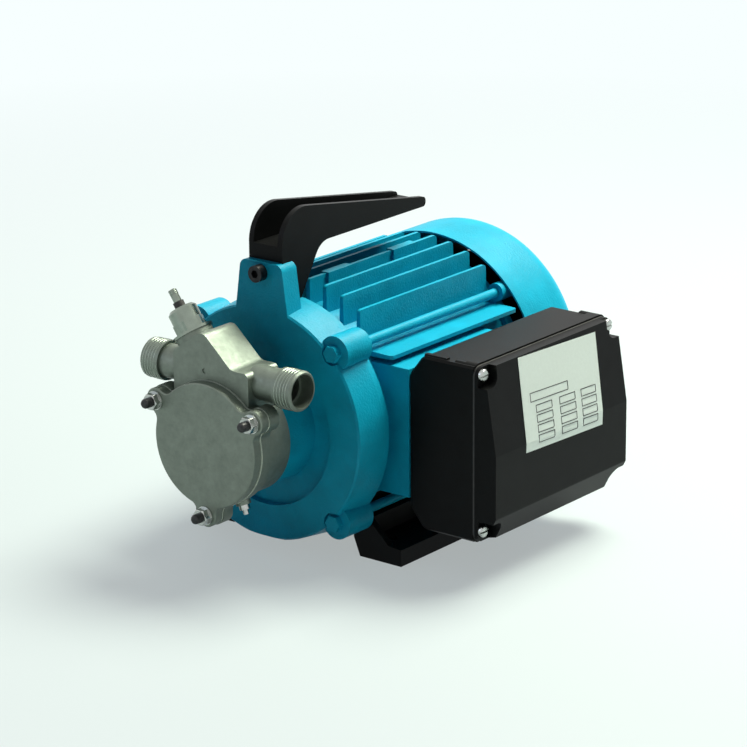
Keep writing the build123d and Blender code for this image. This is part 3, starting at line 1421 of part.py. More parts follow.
def impeller_sleeve():
    """Metal bush that the rubber is moulded on."""
    return ring_y(IMPELLER_SLEEVE, PUMP_SHAFT, IMPELLER_FRONT, IMPELLER_REAR) - drive_pin()


def impeller():
    """Rubber impeller, its vanes at the reach that the cam leaves them."""
    wheel = rod_y(IMPELLER_HUB, IMPELLER_FRONT, IMPELLER_REAR)
    tip = CAM_RADIUS - SOFT_FIT - VANE_BULB
    for number in range(IMPELLER_VANES):
        angle = number * 360 / IMPELLER_VANES
        vane = block((0, IMPELLER_FRONT, -VANE_THICKNESS / 2), (tip, IMPELLER_REAR, VANE_THICKNESS / 2))
        wheel += on_axis(Rot(0, -angle, 0) * vane)
        x, z = polar(tip, angle)
        wheel += rod_y(VANE_BULB, IMPELLER_FRONT, IMPELLER_REAR, x, z)
    return wheel - rod_y(IMPELLER_SLEEVE, IMPELLER_FRONT, IMPELLER_REAR)


def seal_head():
    """Turning half of the shaft seal."""
    face = SEAL_CAVITY_BACK - SOFT_FIT
    step = face - SEAL_FACE_STEP
    back = step - SEAL_HEAD_LENGTH
    return turned([
        (back, PUMP_SHAFT),
        (back, SEAL_HEAD_RADIUS),
        (step, SEAL_HEAD_RADIUS),
        (step, SEAL_FACE_RADIUS),
        (face, SEAL_FACE_RADIUS),
        (face, PUMP_SHAFT),
    ])


def seal_seat():
    return ring_y(SEAT_RADIUS, SEAT_BORE, SEAL_CAVITY_BACK, SEAL_CAVITY_BACK + SEAT_THICKNESS)


def valve_top():
    return VALVE_BOSS_HEIGHT + VALVE_WASHER_THICKNESS + VALVE_HEX_HEIGHT + VALVE_CROWN_HEIGHT


def valve_washer():
    low = VALVE_BOSS_HEIGHT
    high = low + VALVE_WASHER_THICKNESS
    return valve_rod(VALVE_WASHER_RADIUS, low, high) - valve_rod(VALVE_THREAD, low, high)


def spring_chamber_floor():
    return VALVE_BOSS_HEIGHT - VALVE_THREAD_LENGTH + VALVE_FLOOR


def pressed_spring():
    return SPRING_TURNS * SPRING_PITCH + 2 * SPRING_WIRE


def stem_collar_low():
    return spring_chamber_floor() + STEM_TRAVEL + pressed_spring()


def valve_body():
    """Round crown on a hexagon that is screwed into the boss, bored for the sprung stem."""
    low = VALVE_BOSS_HEIGHT + VALVE_WASHER_THICKNESS
    foot = VALVE_BOSS_HEIGHT - VALVE_THREAD_LENGTH
    hexagon = RegularPolygon(VALVE_FLATS / 2, 6, major_radius=False)
    crown = valve_rod(VALVE_CROWN, low, valve_top())
    top = crown.faces().sort_by(Axis.Z)[-1].edges()
    body = chamfer(top, VALVE_CROWN_CHAMFER) + valve_frame(low) * extrude(hexagon, VALVE_HEX_HEIGHT)
    body += valve_rod(VALVE_THREAD, foot, low)
    body -= valve_rod(STEM_RADIUS + RUNNING_FIT, foot, valve_top())
    chamber_top = stem_collar_low() + STEM_COLLAR_HEIGHT + SOFT_FIT
    return body - valve_rod(VALVE_CHAMBER, spring_chamber_floor(), chamber_top)


def valve_gland():
    """Rubber collar round the stem."""
    low, high = valve_top(), valve_top() + VALVE_GLAND_HEIGHT
    return valve_rod(VALVE_GLAND_RADIUS, low, high) - valve_rod(STEM_RADIUS + RUNNING_FIT, low, high)


def valve_stem():
    low = spring_chamber_floor() + STEM_TRAVEL
    high = valve_top() + VALVE_GLAND_HEIGHT + STEM_RISE
    stem = valve_rod(STEM_RADIUS, low, high)
    stem += valve_rod(STEM_COLLAR, stem_collar_low(), stem_collar_low() + STEM_COLLAR_HEIGHT)
    end = stem.faces().sort_by(Axis.Z)[-1].edges()
    return chamfer(end, STEM_CHAMFER)


def valve_spring():
    """Spring under the stem's collar, drawn at its pressed length."""
    coil = Helix(SPRING_PITCH, SPRING_TURNS * SPRING_PITCH, SPRING_RADIUS)
    start = Plane(origin=coil @ 0, z_dir=coil % 0)
    wire = sweep(start * Circle(SPRING_WIRE), path=coil, is_frenet=True)
    return valve_frame(spring_chamber_floor() + SPRING_WIRE) * wire


PIECES = {
    "motor_frame": motor_frame,
    "front_shield": front_shield,
    "rear_shield": rear_shield,
    "tie_bolts": tie_bolts,
    "tie_nuts": tie_nuts,
    "stator_core": stator_core,
    "stator_windings": stator_windings,
    "rotor_core": rotor_core,
    "shaft": shaft,
    "wave_washer": wave_washer,
    "cooling_fan": cooling_fan,
    "fan_clip": fan_clip,
    "fan_cowl": fan_cowl,
    "cowl_screws": cowl_screws,
    "base_foot": base_foot,
    "foot_screws": foot_screws,
    "handle": handle,
    "handle_screw": handle_screw,
    "box_base": box_base,
    "box_gasket": box_gasket,
    "box_lid": box_lid,
    "lid_screws": lid_screws,
    "box_screws": box_screws,
    "capacitor": capacitor,
    "capacitor_saddle": capacitor_saddle,
    "terminal_block": terminal_block,
    "cable_gland": cable_gland,
    "gland_nut": gland_nut,
    "gland_locknut": gland_locknut,
    "pump_body": pump_body,
    "pump_cover": pump_cover,
    "cover_gasket": cover_gasket,
    "cover_studs": cover_studs,
    "cover_washers": cover_washers,
    "cover_nuts": cover_nuts,
    "body_screws": body_screws,
    "wear_plate": wear_plate,
    "cam": cam,
    "cam_screw": cam_screw,
    "impeller": impeller,
    "impeller_sleeve": impeller_sleeve,
    "impeller_pin": drive_pin,
    "seal_head": seal_head,
    "seal_seat": seal_seat,
    "drain_screw": drain_screw,
    "valve_washer": valve_washer,
    "valve_body": valve_body,
    "valve_gland": valve_gland,
    "valve_stem": valve_stem,
    "valve_spring": valve_spring,
}


def main():
    os.makedirs("parts", exist_ok=True)
    for name, make in PIECES.items():
        export_step(make(), f"parts/{name}.step")
    for end, front in (("front", FRONT_BEARING), ("rear", REAR_BEARING)):
        export_step(bearing_outer(front), f"parts/{end}_bearing_outer.step")
        export_step(bearing_inner(front), f"parts/{end}_bearing_inner.step")


main()
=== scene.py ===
"""Dressed scene of a self-priming pump: finishes, threads, label, studio.

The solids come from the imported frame. This script gives each of them its
finish, adds what is too fine for the solids, and lights the whole.
Lengths are in metres, in the frame of the solids: +Y along the shaft to the
fan, +X to the terminal box, +Z up, with the origin on the floor.
"""
import json
import math

import bpy
import bmesh
from bpy.props import FloatProperty, FloatVectorProperty, IntProperty, PointerProperty
from mathutils import Matrix, Vector


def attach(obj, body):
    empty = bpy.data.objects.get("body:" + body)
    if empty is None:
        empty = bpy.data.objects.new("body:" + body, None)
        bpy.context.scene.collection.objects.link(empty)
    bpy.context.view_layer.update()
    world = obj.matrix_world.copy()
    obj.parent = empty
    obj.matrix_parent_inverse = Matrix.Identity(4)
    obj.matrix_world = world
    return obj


bl_info = {
    "name": "Self-Priming Pump Dresser",
    "version": (1, 0, 0),
    "blender": (4, 5, 0),
    "location": "View3D > Sidebar > Pump",
    "description": "Finishes, threads, label and studio for a self-priming pump",
    "category": "Object",
}

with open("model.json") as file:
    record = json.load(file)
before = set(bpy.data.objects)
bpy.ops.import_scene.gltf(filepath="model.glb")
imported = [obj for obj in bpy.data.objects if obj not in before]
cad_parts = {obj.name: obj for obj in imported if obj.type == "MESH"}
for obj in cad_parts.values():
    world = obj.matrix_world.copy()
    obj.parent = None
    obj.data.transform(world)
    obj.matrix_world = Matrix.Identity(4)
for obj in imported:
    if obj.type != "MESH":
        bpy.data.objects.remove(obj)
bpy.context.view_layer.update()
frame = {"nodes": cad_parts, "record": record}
NODES = frame["nodes"]
HOUSING = "housing"
STEM = "stem"

# Shaft axis and the ports, as the solids have them
SHAFT_HEIGHT = 0.071
PORT_Y = -0.1085
PORT_HEIGHT = 0.105
PORT_END = 0.050
PORT_THREAD_RADIUS = 0.01048

# Priming valve: a point of its axis on the slope of the head, and its direction
VALVE_FOOT = Vector((-0.019361, PORT_Y, 0.119904))
VALVE_AXIS = Vector((-0.56921, 0.0, 0.822192))


class FinishSettings(bpy.types.PropertyGroup):
    """Colours and gloss of the finishes."""

    enamel: FloatVectorProperty(
        name="Enamel", description="Colour of the painted castings",
        subtype="COLOR", size=3, min=0, max=1, default=(0.003, 0.325, 0.50))
    plastic: FloatVectorProperty(
        name="Plastic", description="Colour of the handle, the box and the foot",
        subtype="COLOR", size=3, min=0, max=1, default=(0.0035, 0.004, 0.0042))
    nickel: FloatVectorProperty(
        name="Nickel", description="Colour of the plated pump castings",
        subtype="COLOR", size=3, min=0, max=1, default=(0.19, 0.225, 0.19))
    label: FloatVectorProperty(
        name="Label", description="Colour of the blank rating label",
        subtype="COLOR", size=3, min=0, max=1, default=(0.68, 0.75, 0.72))
    enamel_roughness: FloatProperty(
        name="Enamel roughness", description="Roughness of the paint",
        subtype="FACTOR", min=0, max=1, default=0.42)


class ThreadSettings(bpy.types.PropertyGroup):
    """Sizes of the threads."""

    port_pitch: FloatProperty(
        name="Port pitch", description="Rise of the port thread in one turn",
        subtype="DISTANCE", unit="LENGTH", min=0.0005, max=0.005, default=0.001814)
    port_ridge: FloatProperty(
        name="Port ridge", description="Half thickness of the port thread's ridge",
        subtype="DISTANCE", unit="LENGTH", min=0.0001, max=0.001, default=0.00055)
    stud_pitch: FloatProperty(
        name="Stud pitch", description="Rise of the stud thread in one turn",
        subtype="DISTANCE", unit="LENGTH", min=0.0003, max=0.002, default=0.0008)
    steps: IntProperty(
        name="Steps", description="Corners in one turn of a thread",
        min=8, max=64, default=36)


class StudioSettings(bpy.types.PropertyGroup):
    """Light levels and the camera."""

    key_power: FloatProperty(
        name="Key light", description="Power of the softbox overhead",
        unit="POWER", min=0, max=500, default=48.0)
    fill_power: FloatProperty(
        name="Fill light", description="Power of the softbox beside the camera",
        unit="POWER", min=0, max=500, default=1.6)
    side_power: FloatProperty(
        name="Side light", description="Power of the softbox on the side of the terminal box",
        unit="POWER", min=0, max=500, default=0.7)
    sky: FloatProperty(
        name="Sky", description="Strength of the sky straight overhead",
        min=0, max=3, default=0.2)
    lens: FloatProperty(
        name="Lens", description="Focal length of the camera in millimetres",
        min=10, max=400, default=164.84)


def settings(group):
    """One of the groups of settings, as the scene holds it."""
    return getattr(bpy.context.scene, group)


def set_stops(ramp, stops):
    """Gives a colour ramp its stops, as pairs of position and colour."""
    elements = ramp.elements
    while len(elements) < len(stops):
        elements.new(0.5)
    for element, (position, color) in zip(elements, stops):
        element.position = position
        element.color = (*color, 1)


class Finish:
    """A node material under construction, with short calls for its nodes."""

    def __init__(self, name):
        self.material = bpy.data.materials.new(name)
        self.material.use_nodes = True
        self.tree = self.material.node_tree
        self.shader = self.tree.nodes["Principled BSDF"]
        self.spot = 0

    def node(self, kind):
        """A new node, to the left of the last one."""
        made = self.tree.nodes.new(kind)
        self.spot -= 180
        made.location = (self.spot, 0)
        return made

    def link(self, source, target):
        self.tree.links.new(source, target)

    def place(self):
        """Object coordinates, the same on every piece that uses the finish."""
        return self.node("ShaderNodeTexCoord").outputs["Object"]

    def noise(self, scale, detail=3.0, roughness=0.5):
        made = self.node("ShaderNodeTexNoise")
        made.inputs["Scale"].default_value = scale
        made.inputs["Detail"].default_value = detail
        made.inputs["Roughness"].default_value = roughness
        self.link(self.place(), made.inputs["Vector"])
        return made.outputs["Fac"]

    def mottle(self, socket, low, high, scale, detail=3.0, roughness=0.5, edge=0.3):
        """Soft blotches between two tones, on one of the shader's sockets."""
        source = self.noise(scale, detail, roughness)
        made = self.node("ShaderNodeValToRGB")
        self.link(source, made.inputs["Fac"])
        set_stops(made.color_ramp, ((edge, low), (1 - edge, high)))
        self.link(made.outputs["Color"], self.shader.inputs[socket])

    def bump(self, scale, detail, strength, distance):
        """Fine relief of the surface."""
        source = self.noise(scale, detail)
        made = self.node("ShaderNodeBump")
        made.inputs["Strength"].default_value = strength
        made.inputs["Distance"].default_value = distance
        self.link(source, made.inputs["Height"])
        self.link(made.outputs["Normal"], self.shader.inputs["Normal"])

    def set(self, values):
        """Values that are the same all over, on the shader's own sockets."""
        for name, value in values.items():
            self.shader.inputs[name].default_value = value


def shade(color, factor):
    """The colour made darker or lighter."""
    return tuple(min(1.0, part * factor) for part in color)


def grey(value):
    return (value, value, value)


def cast_enamel():
    values = settings("pump_finish")
    tone = tuple(values.enamel)
    finish = Finish("cast enamel")
    finish.mottle("Base Color", shade(tone, 0.9), shade(tone, 1.1), scale=60)
    finish.set({"Roughness": values.enamel_roughness, "Specular IOR Level": 0.12})
    finish.bump(scale=900, detail=4, strength=0.5, distance=0.0005)
    return finish.material


def grained_plastic():
    tone = tuple(settings("pump_finish").plastic)
    finish = Finish("grained plastic")
    finish.mottle("Base Color", shade(tone, 0.8), shade(tone, 1.25), scale=80)
    finish.set({"Roughness": 0.38, "IOR": 1.34, "Specular IOR Level": 0.16})
    finish.bump(scale=2600, detail=2, strength=0.18, distance=0.0002)
    return finish.material


def cast_nickel():
    tone = tuple(settings("pump_finish").nickel)
    finish = Finish("cast nickel")
    finish.mottle("Base Color", shade(tone, 0.82), shade(tone, 1.1),
                  scale=140, detail=5, roughness=0.65, edge=0.25)
    finish.mottle("Roughness", grey(0.42), grey(0.58), scale=420, detail=4)
    finish.set({"Metallic": 0.85})
    finish.bump(scale=1500, detail=4, strength=0.30, distance=0.0003)
    return finish.material


def turned_nickel():
    tone = tuple(settings("pump_finish").nickel)
    finish = Finish("turned nickel")
    finish.mottle("Base Color", shade(tone, 1.15), shade(tone, 1.4), scale=200)
    finish.set({"Metallic": 1.0, "Roughness": 0.24})
    finish.bump(scale=1800, detail=2, strength=0.05, distance=0.0001)
    return finish.material


def label_film():
    tone = tuple(settings("pump_finish").label)
    finish = Finish("label film")
    finish.mottle("Base Color", shade(tone, 0.98), shade(tone, 1.02), scale=600)
    finish.set({"Roughness": 0.35})
    return finish.material


def plain(name, dark, light, metallic, roughness, scale):
    """A finish with soft mottling between two tones and no relief."""
    finish = Finish(name)
    finish.mottle("Base Color", dark, light, scale)
    finish.set({"Metallic": metallic, "Roughness": roughness})
    return finish.material


MAKERS = {
    "enamel": cast_enamel,
    "plastic": grained_plastic,
    "nickel": cast_nickel,
    "turned": turned_nickel,
    "label": label_film,
}

# Plain finishes: name, dark tone, light tone, metallic, roughness, scale of the mottling
PLAIN_FINISHES = {
    "bright": ("bright steel", (0.38, 0.40, 0.38), (0.52, 0.54, 0.52), 1.0, 0.24, 300),
    "thread": ("dark thread", (0.010, 0.011, 0.012), (0.035, 0.036, 0.038), 0.4, 0.35, 500),
    "oxide": ("oxide steel", (0.012, 0.012, 0.013), (0.03, 0.03, 0.032), 0.7, 0.32, 400),
    "paper": ("gasket paper", (0.50, 0.54, 0.46), (0.60, 0.64, 0.55), 0.0, 0.6, 500),
    "ground": ("ground steel", (0.42, 0.42, 0.42), (0.55, 0.55, 0.55), 1.0, 0.28, 400),
    "core": ("sheet steel", (0.10, 0.10, 0.105), (0.17, 0.17, 0.175), 0.8, 0.5, 500),
    "copper": ("varnished copper", (0.38, 0.13, 0.05), (0.52, 0.20, 0.08), 0.8, 0.35, 900),
    "rubber": ("moulded rubber", (0.010, 0.010, 0.010), (0.022, 0.022, 0.022), 0.0, 0.6, 300),
    "carbon": ("lapped carbon", (0.02, 0.02, 0.022), (0.04, 0.04, 0.042), 0.0, 0.3, 300),
    "ceramic": ("lapped ceramic", (0.72, 0.70, 0.64), (0.80, 0.78, 0.72), 0.0, 0.25, 200),
    "can": ("drawn can", (0.60, 0.61, 0.62), (0.70, 0.71, 0.72), 1.0, 0.3, 200),
    "insulator": ("insulator", (0.60, 0.58, 0.50), (0.68, 0.66, 0.58), 0.0, 0.4, 200),
    "brass": ("turned brass", (0.60, 0.40, 0.14), (0.70, 0.48, 0.18), 1.0, 0.3, 300),
    "ink": ("printed ink", (0.012, 0.012, 0.013), (0.02, 0.02, 0.022), 0.0, 0.4, 300),
}
FINISHES = {}


def finish_of(name):
    """The finish of that name, made when it is first asked for."""
    if name not in FINISHES:
        FINISHES[name] = MAKERS[name]() if name in MAKERS else plain(*PLAIN_FINISHES[name])
    return FINISHES[name]


SLOT_FINISH = {
    "blue_paint": "enamel",
    "black_plastic": "plastic",
    "nickel": "nickel",
    "bright_steel": "bright",
    "ground_steel": "ground",
    "core_steel": "core",
    "copper": "copper",
    "rubber": "rubber",
    "carbon": "carbon",
    "ceramic": "ceramic",
    "can": "can",
    "terminal_white": "insulator",
    "brass": "brass",
}
NODE_FINISH = {
    "cover_studs": "thread",
    "handle_screw": "oxide",
    "cover_gasket": "paper",
    "valve_body": "turned",
    "valve_stem": "turned",
    "valve_washer": "turned",
}


class PUMP_OT_finishes(bpy.types.Operator):
    """Gives every solid of the frame its finish"""

    bl_idname = "pump.finishes"
    bl_label = "Finish the solids"

    def execute(self, context):
        for part in frame["record"]["subparts"]:
            node = part["node"]
            name = NODE_FINISH.get(node, SLOT_FINISH[part["material_slot"]])
            mesh = NODES[node].data
            mesh.materials.clear()
            mesh.materials.append(finish_of(name))
        return {"FINISHED"}


def add_piece(name, mesh, finish_name, body=HOUSING):
    """Puts a finished mesh in the scene as a piece of the pump."""
    piece = bpy.data.objects.new(name, mesh)
    bpy.context.scene.collection.objects.link(piece)
    mesh.materials.clear()
    mesh.materials.append(finish_of(finish_name))
    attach(piece, body)
    return piece


def thread_tree():
    """Geometry nodes that wind a ridge round the Z axis."""
    tree = bpy.data.node_groups.new("wound ridge", "GeometryNodeTree")
    sockets = tree.interface
    for name, kind, value in (
            ("Radius", "NodeSocketFloat", 0.01),
            ("Length", "NodeSocketFloat", 0.01),
            ("Turns", "NodeSocketFloat", 5.0),
            ("Ridge", "NodeSocketFloat", 0.0005),
            ("Steps", "NodeSocketInt", 32),
            ("Material", "NodeSocketMaterial", None)):
        socket = sockets.new_socket(name=name, in_out="INPUT", socket_type=kind)
        if value is not None:
            socket.default_value = value
    sockets.new_socket(name="Geometry", in_out="OUTPUT", socket_type="NodeSocketGeometry")
    nodes, links = tree.nodes, tree.links
    entry = nodes.new("NodeGroupInput")
    spiral = nodes.new("GeometryNodeCurveSpiral")
    section = nodes.new("GeometryNodeCurvePrimitiveCircle")
    sweep = nodes.new("GeometryNodeCurveToMesh")
    sweep.inputs["Fill Caps"].default_value = True
    section.inputs["Resolution"].default_value = 4
    realize = nodes.new("GeometryNodeRealizeInstances")
    paint = nodes.new("GeometryNodeSetMaterial")
    leave = nodes.new("NodeGroupOutput")
    links.new(entry.outputs["Steps"], spiral.inputs["Resolution"])
    links.new(entry.outputs["Turns"], spiral.inputs["Rotations"])
    links.new(entry.outputs["Radius"], spiral.inputs["Start Radius"])
    links.new(entry.outputs["Radius"], spiral.inputs["End Radius"])
    links.new(entry.outputs["Length"], spiral.inputs["Height"])
    links.new(entry.outputs["Ridge"], section.inputs["Radius"])
    links.new(spiral.outputs["Curve"], sweep.inputs["Curve"])
    links.new(section.outputs["Curve"], sweep.inputs["Profile Curve"])
    links.new(sweep.outputs["Mesh"], realize.inputs["Geometry"])
    links.new(realize.outputs["Geometry"], paint.inputs["Geometry"])
    links.new(entry.outputs["Material"], paint.inputs["Material"])
    links.new(paint.outputs["Geometry"], leave.inputs["Geometry"])
    for number, made in enumerate(nodes):
        made.location = (number * 190, 0)
    return tree


def run_tree(tree, values):
    """The plain mesh that a node tree makes with those inputs."""
    carrier = bpy.data.objects.new("carrier", bpy.data.meshes.new("carrier"))
    bpy.context.scene.collection.objects.link(carrier)
    modifier = carrier.modifiers.new("tree", "NODES")
    modifier.node_group = tree
    for item in tree.interface.items_tree:
        if item.in_out == "INPUT" and item.name in values:
            modifier[item.identifier] = values[item.name]
    deps = bpy.context.evaluated_depsgraph_get()
    mesh = bpy.data.meshes.new_from_object(carrier.evaluated_get(deps))
    bpy.data.objects.remove(carrier)
    return mesh


def wound_ridge(tree, radius, length, pitch, ridge, finish_name, steps):
    """The ridge of a thread, wound up the Z axis from the origin."""
    return run_tree(tree, {
        "Radius": radius,
        "Length": length,
        "Turns": length / pitch,
        "Ridge": ridge,
        "Steps": steps,
        "Material": finish_of(finish_name),
    })


def outward(mesh):
    """Turns all faces outwards."""
    work = bmesh.new()
    work.from_mesh(mesh)
    bmesh.ops.remove_doubles(work, verts=work.verts, dist=1e-7)
    bmesh.ops.recalc_face_normals(work, faces=work.faces)
    work.to_mesh(mesh)
    work.free()
    return mesh


def along(direction, origin):
    """Placement whose Z axis runs along a direction from a point."""
    turn = Vector(direction).normalized().to_track_quat("Z", "Y")
    return Matrix.Translation(origin) @ turn.to_matrix().to_4x4()


def join(meshes):
    """One mesh out of several."""
    work = bmesh.new()
    for mesh in meshes:
        work.from_mesh(mesh)
    made = bpy.data.meshes.new("joined")
    work.to_mesh(made)
    work.free()
    return made


# Threads of the ports: how far from the port's end they start, their length, and how deep
# the middle of the ridge lies in the port, as a share of its half thickness
PORT_THREAD_START = 0.0112
PORT_THREAD_LENGTH = 0.0098
PORT_RIDGE_DEPTH = 0.45


class PUMP_OT_port_threads(bpy.types.Operator):
    """Winds the pipe thread round both ports"""

    bl_idname = "pump.port_threads"
    bl_label = "Port threads"

    def execute(self, context):
        values = settings("pump_thread")
        tree = thread_tree()
        radius = PORT_THREAD_RADIUS - values.port_ridge * PORT_RIDGE_DEPTH
        for side, name in ((-1, "port_thread_left"), (1, "port_thread_right")):
            mesh = wound_ridge(tree, radius, PORT_THREAD_LENGTH, values.port_pitch,
                               values.port_ridge, "turned", values.steps)
            start = (side * (PORT_END - PORT_THREAD_START), PORT_Y, PORT_HEIGHT)
            mesh.transform(along((side, 0, 0), start))
            add_piece(name, outward(mesh), "turned")
        return {"FINISHED"}


# Threads of the studs in front of their nuts, and of the valve's stem. The stem's thread
# starts high enough to stay out of the gland when the valve is pressed.
STUD_DEGREES = (30, 150, 270)
STUD_CIRCLE = 0.037
STUD_RADIUS = 0.00235
STUD_THREAD_FOOT = -0.1322
STUD_THREAD_LENGTH = 0.0031
STUD_STEPS = 16
STEM_RADIUS = 0.0021
STEM_PITCH = 0.0009
STEM_THREAD_FOOT = 0.0252
STEM_THREAD_LENGTH = 0.0028
STEM_STEPS = 18
FINE_RIDGE = 0.0003


class PUMP_OT_fastener_threads(bpy.types.Operator):
    """Winds the threads round the stud ends and the valve stem"""

    bl_idname = "pump.fastener_threads"
    bl_label = "Fastener threads"

    def execute(self, context):
        pitch = settings("pump_thread").stud_pitch
        tree = thread_tree()
        turns = []
        for degrees in STUD_DEGREES:
            x = STUD_CIRCLE * math.cos(math.radians(degrees))
            z = SHAFT_HEIGHT + STUD_CIRCLE * math.sin(math.radians(degrees))
            mesh = wound_ridge(tree, STUD_RADIUS, STUD_THREAD_LENGTH, pitch,
                               FINE_RIDGE, "thread", STUD_STEPS)
            mesh.transform(along((0, -1, 0), (x, STUD_THREAD_FOOT, z)))
            turns.append(mesh)
        add_piece("stud_threads", outward(join(turns)), "thread")
        mesh = wound_ridge(tree, STEM_RADIUS, STEM_THREAD_LENGTH, STEM_PITCH,
                           FINE_RIDGE, "turned", STEM_STEPS)
        mesh.transform(along(VALVE_AXIS, VALVE_FOOT + VALVE_AXIS * STEM_THREAD_FOOT))
        add_piece("stem_thread", outward(mesh), "turned", STEM)
        return {"FINISHED"}


# Lid of the terminal box: its slanted face from the top edge down to the fold
LID_TOP = Vector((0.1188, 0.0, 0.1143))
LID_FOLD = Vector((0.1260, 0.0, 0.0695))

# Label: its size, the place of its middle on the lid, how far it is turned, and its film
LABEL_WIDTH = 0.068
LABEL_HEIGHT = 0.0494
LABEL_MIDDLE_Y = 0.0119
LABEL_MIDDLE_DOWN = 0.0266
LABEL_TURN = math.radians(2.2)
LABEL_LIFT = 0.00016
FILM_CELL = 0.0025

# Ruled boxes of the label: a wide one, then rows of three. Boxes are (left, right, top, low),
# in shares of the label's width and height.
RULE_WIDTH = 0.00038
RULE_LIFT = LABEL_LIFT * 1.8
WIDE_BOX = (0.10, 0.58, 0.40, 0.49)
BOX_COLUMNS = ((0.16, 0.36), (0.46, 0.66), (0.74, 0.93))
BOX_ROWS = 4
BOX_TOP = 0.54
BOX_STEP = 0.105
BOX_HEIGHT = 0.075


def lid_point(y, down):
    """A point of the lid's outer face and its normal, by the way down from the top edge."""
    slope = LID_FOLD - LID_TOP
    length = slope.length
    if down <= length:
        spot = LID_TOP + slope * (down / length)
        normal = Vector((-slope.z, 0, slope.x)).normalized()
    else:
        spot = LID_FOLD - Vector((0, 0, down - length))
        normal = Vector((1, 0, 0))
    return Vector((spot.x, y, spot.z)), normal


def label_point(across, down, lift):
    """A point over the lid, from its place on the label, which is stuck on a little askew."""
    u = (across - 0.5) * LABEL_WIDTH
    v = (down - 0.5) * LABEL_HEIGHT
    turn, lean = math.cos(LABEL_TURN), math.sin(LABEL_TURN)
    y = LABEL_MIDDLE_Y + u * turn - v * lean
    way_down = LABEL_MIDDLE_DOWN + u * lean + v * turn
    spot, normal = lid_point(y, way_down)
    return spot + normal * lift


def film(name, areas, lift, finish_name):
    """Thin film on the lid, bent with it; areas are (left, right, top, low) shares of the label."""
    work = bmesh.new()
    for left, right, top, low in areas:
        columns = max(1, math.ceil((right - left) * LABEL_WIDTH / FILM_CELL))
        rows = max(1, math.ceil((low - top) * LABEL_HEIGHT / FILM_CELL))
        sheets = []
        for height in (lift, 0.0):
            sheets.append([])
            for j in range(rows + 1):
                down = top + (low - top) * j / rows
                across = [left + (right - left) * i / columns for i in range(columns + 1)]
                sheets[-1].append([work.verts.new(label_point(u, down, height)) for u in across])
        outer, inner = sheets
        for j in range(rows):
            for i in range(columns):
                for sheet in sheets:
                    work.faces.new((sheet[j][i], sheet[j + 1][i], sheet[j + 1][i + 1], sheet[j][i + 1]))
        rim = [(0, i) for i in range(columns)] + [(j, columns) for j in range(rows)]
        rim += [(rows, i) for i in range(columns, 0, -1)] + [(j, 0) for j in range(rows, 0, -1)]
        for (j, i), (q, p) in zip(rim, rim[1:] + rim[:1]):
            work.faces.new((outer[j][i], outer[q][p], inner[q][p], inner[j][i]))
    mesh = bpy.data.meshes.new(name)
    bmesh.ops.recalc_face_normals(work, faces=work.faces)
    work.to_mesh(mesh)
    work.free()
    return add_piece(name, mesh, finish_name)


def box_rules(left, right, top, low):
    """The four ruled lines of a box on the label."""
    thick = RULE_WIDTH / LABEL_HEIGHT
    thin = RULE_WIDTH / LABEL_WIDTH
    return [
        (left, right, top, top + thick),
        (left, right, low, low + thick),
        (left, left + thin, top, low),
        (right, right + thin, top, low),
    ]


class PUMP_OT_label(bpy.types.Operator):
    """Sticks a blank rating label with ruled boxes on the lid"""

    bl_idname = "pump.label"
    bl_label = "Blank label"

    def execute(self, context):
        film("label", [(0, 1, 0, 1)], LABEL_LIFT, "label")
        rules = box_rules(*WIDE_BOX)
        for row in range(BOX_ROWS):
            top = BOX_TOP + row * BOX_STEP
            for left, right in BOX_COLUMNS:
                rules += box_rules(left, right, top, top + BOX_HEIGHT)
        film("label_rules", rules, RULE_LIFT, "ink")
        return {"FINISHED"}


# Camera: its direction and tilt in degrees, and its place
CAMERA_AZIMUTH = 38.3117
CAMERA_ELEVATION = 17.5483
CAMERA_ROLL = -0.45
CAMERA_PLACE = Vector((1.0843, -1.3605, 0.6277))

# Floor: half its width, its own tone, and the plain tone seen away from the pump
FLOOR_REACH = 12.0
FLOOR_TONE = (0.46, 0.53, 0.55)
BACKDROP_TONE = (0.93, 1.0, 1.0)

# The floor near the pump shows its shadow; away from it the plain pale backdrop takes over.
# From, to (metres from the middle), then the backdrop's share there.
FLOOR_FADE = (0.2, 1.1, 0.42, 1.0)

# Tones of the sky from the horizon to overhead
SKY_TONES = (
    (0.0, (0.03, 0.04, 0.05)),
    (0.35, (0.09, 0.13, 0.20)),
    (0.7, (0.52, 0.64, 0.74)),
    (1.0, (1.0, 1.0, 1.0)),
)

# Softboxes: name, place, what they face, size, setting that holds their power, tint
SOFTBOXES = (
    ("key", (0.20, 0.70, 1.30), (0.02, 0.0, 0.07), (0.9, 0.7), "key_power", (1.0, 1.0, 0.84)),
    ("fill", (-0.9, -1.4, 0.8), (0, -0.05, 0.08), (0.5, 0.7), "fill_power", (0.62, 0.76, 1.0)),
    ("side", (1.5, 1.1, 0.75), (0.12, 0.02, 0.08), (0.6, 0.6), "side_power", (0.95, 1.0, 0.98)),
)


def view_axes(azimuth, elevation, roll):
    """Right, up and back directions of a camera that looks from that angle."""
    a, e, r = (math.radians(v) for v in (azimuth, elevation, roll))
    back = Vector((math.sin(a) * math.cos(e), -math.cos(a) * math.cos(e), math.sin(e)))
    right = Vector((math.cos(a), math.sin(a), 0))
    up = back.cross(right)
    return (right * math.cos(r) + up * math.sin(r),
            up * math.cos(r) - right * math.sin(r),
            back)


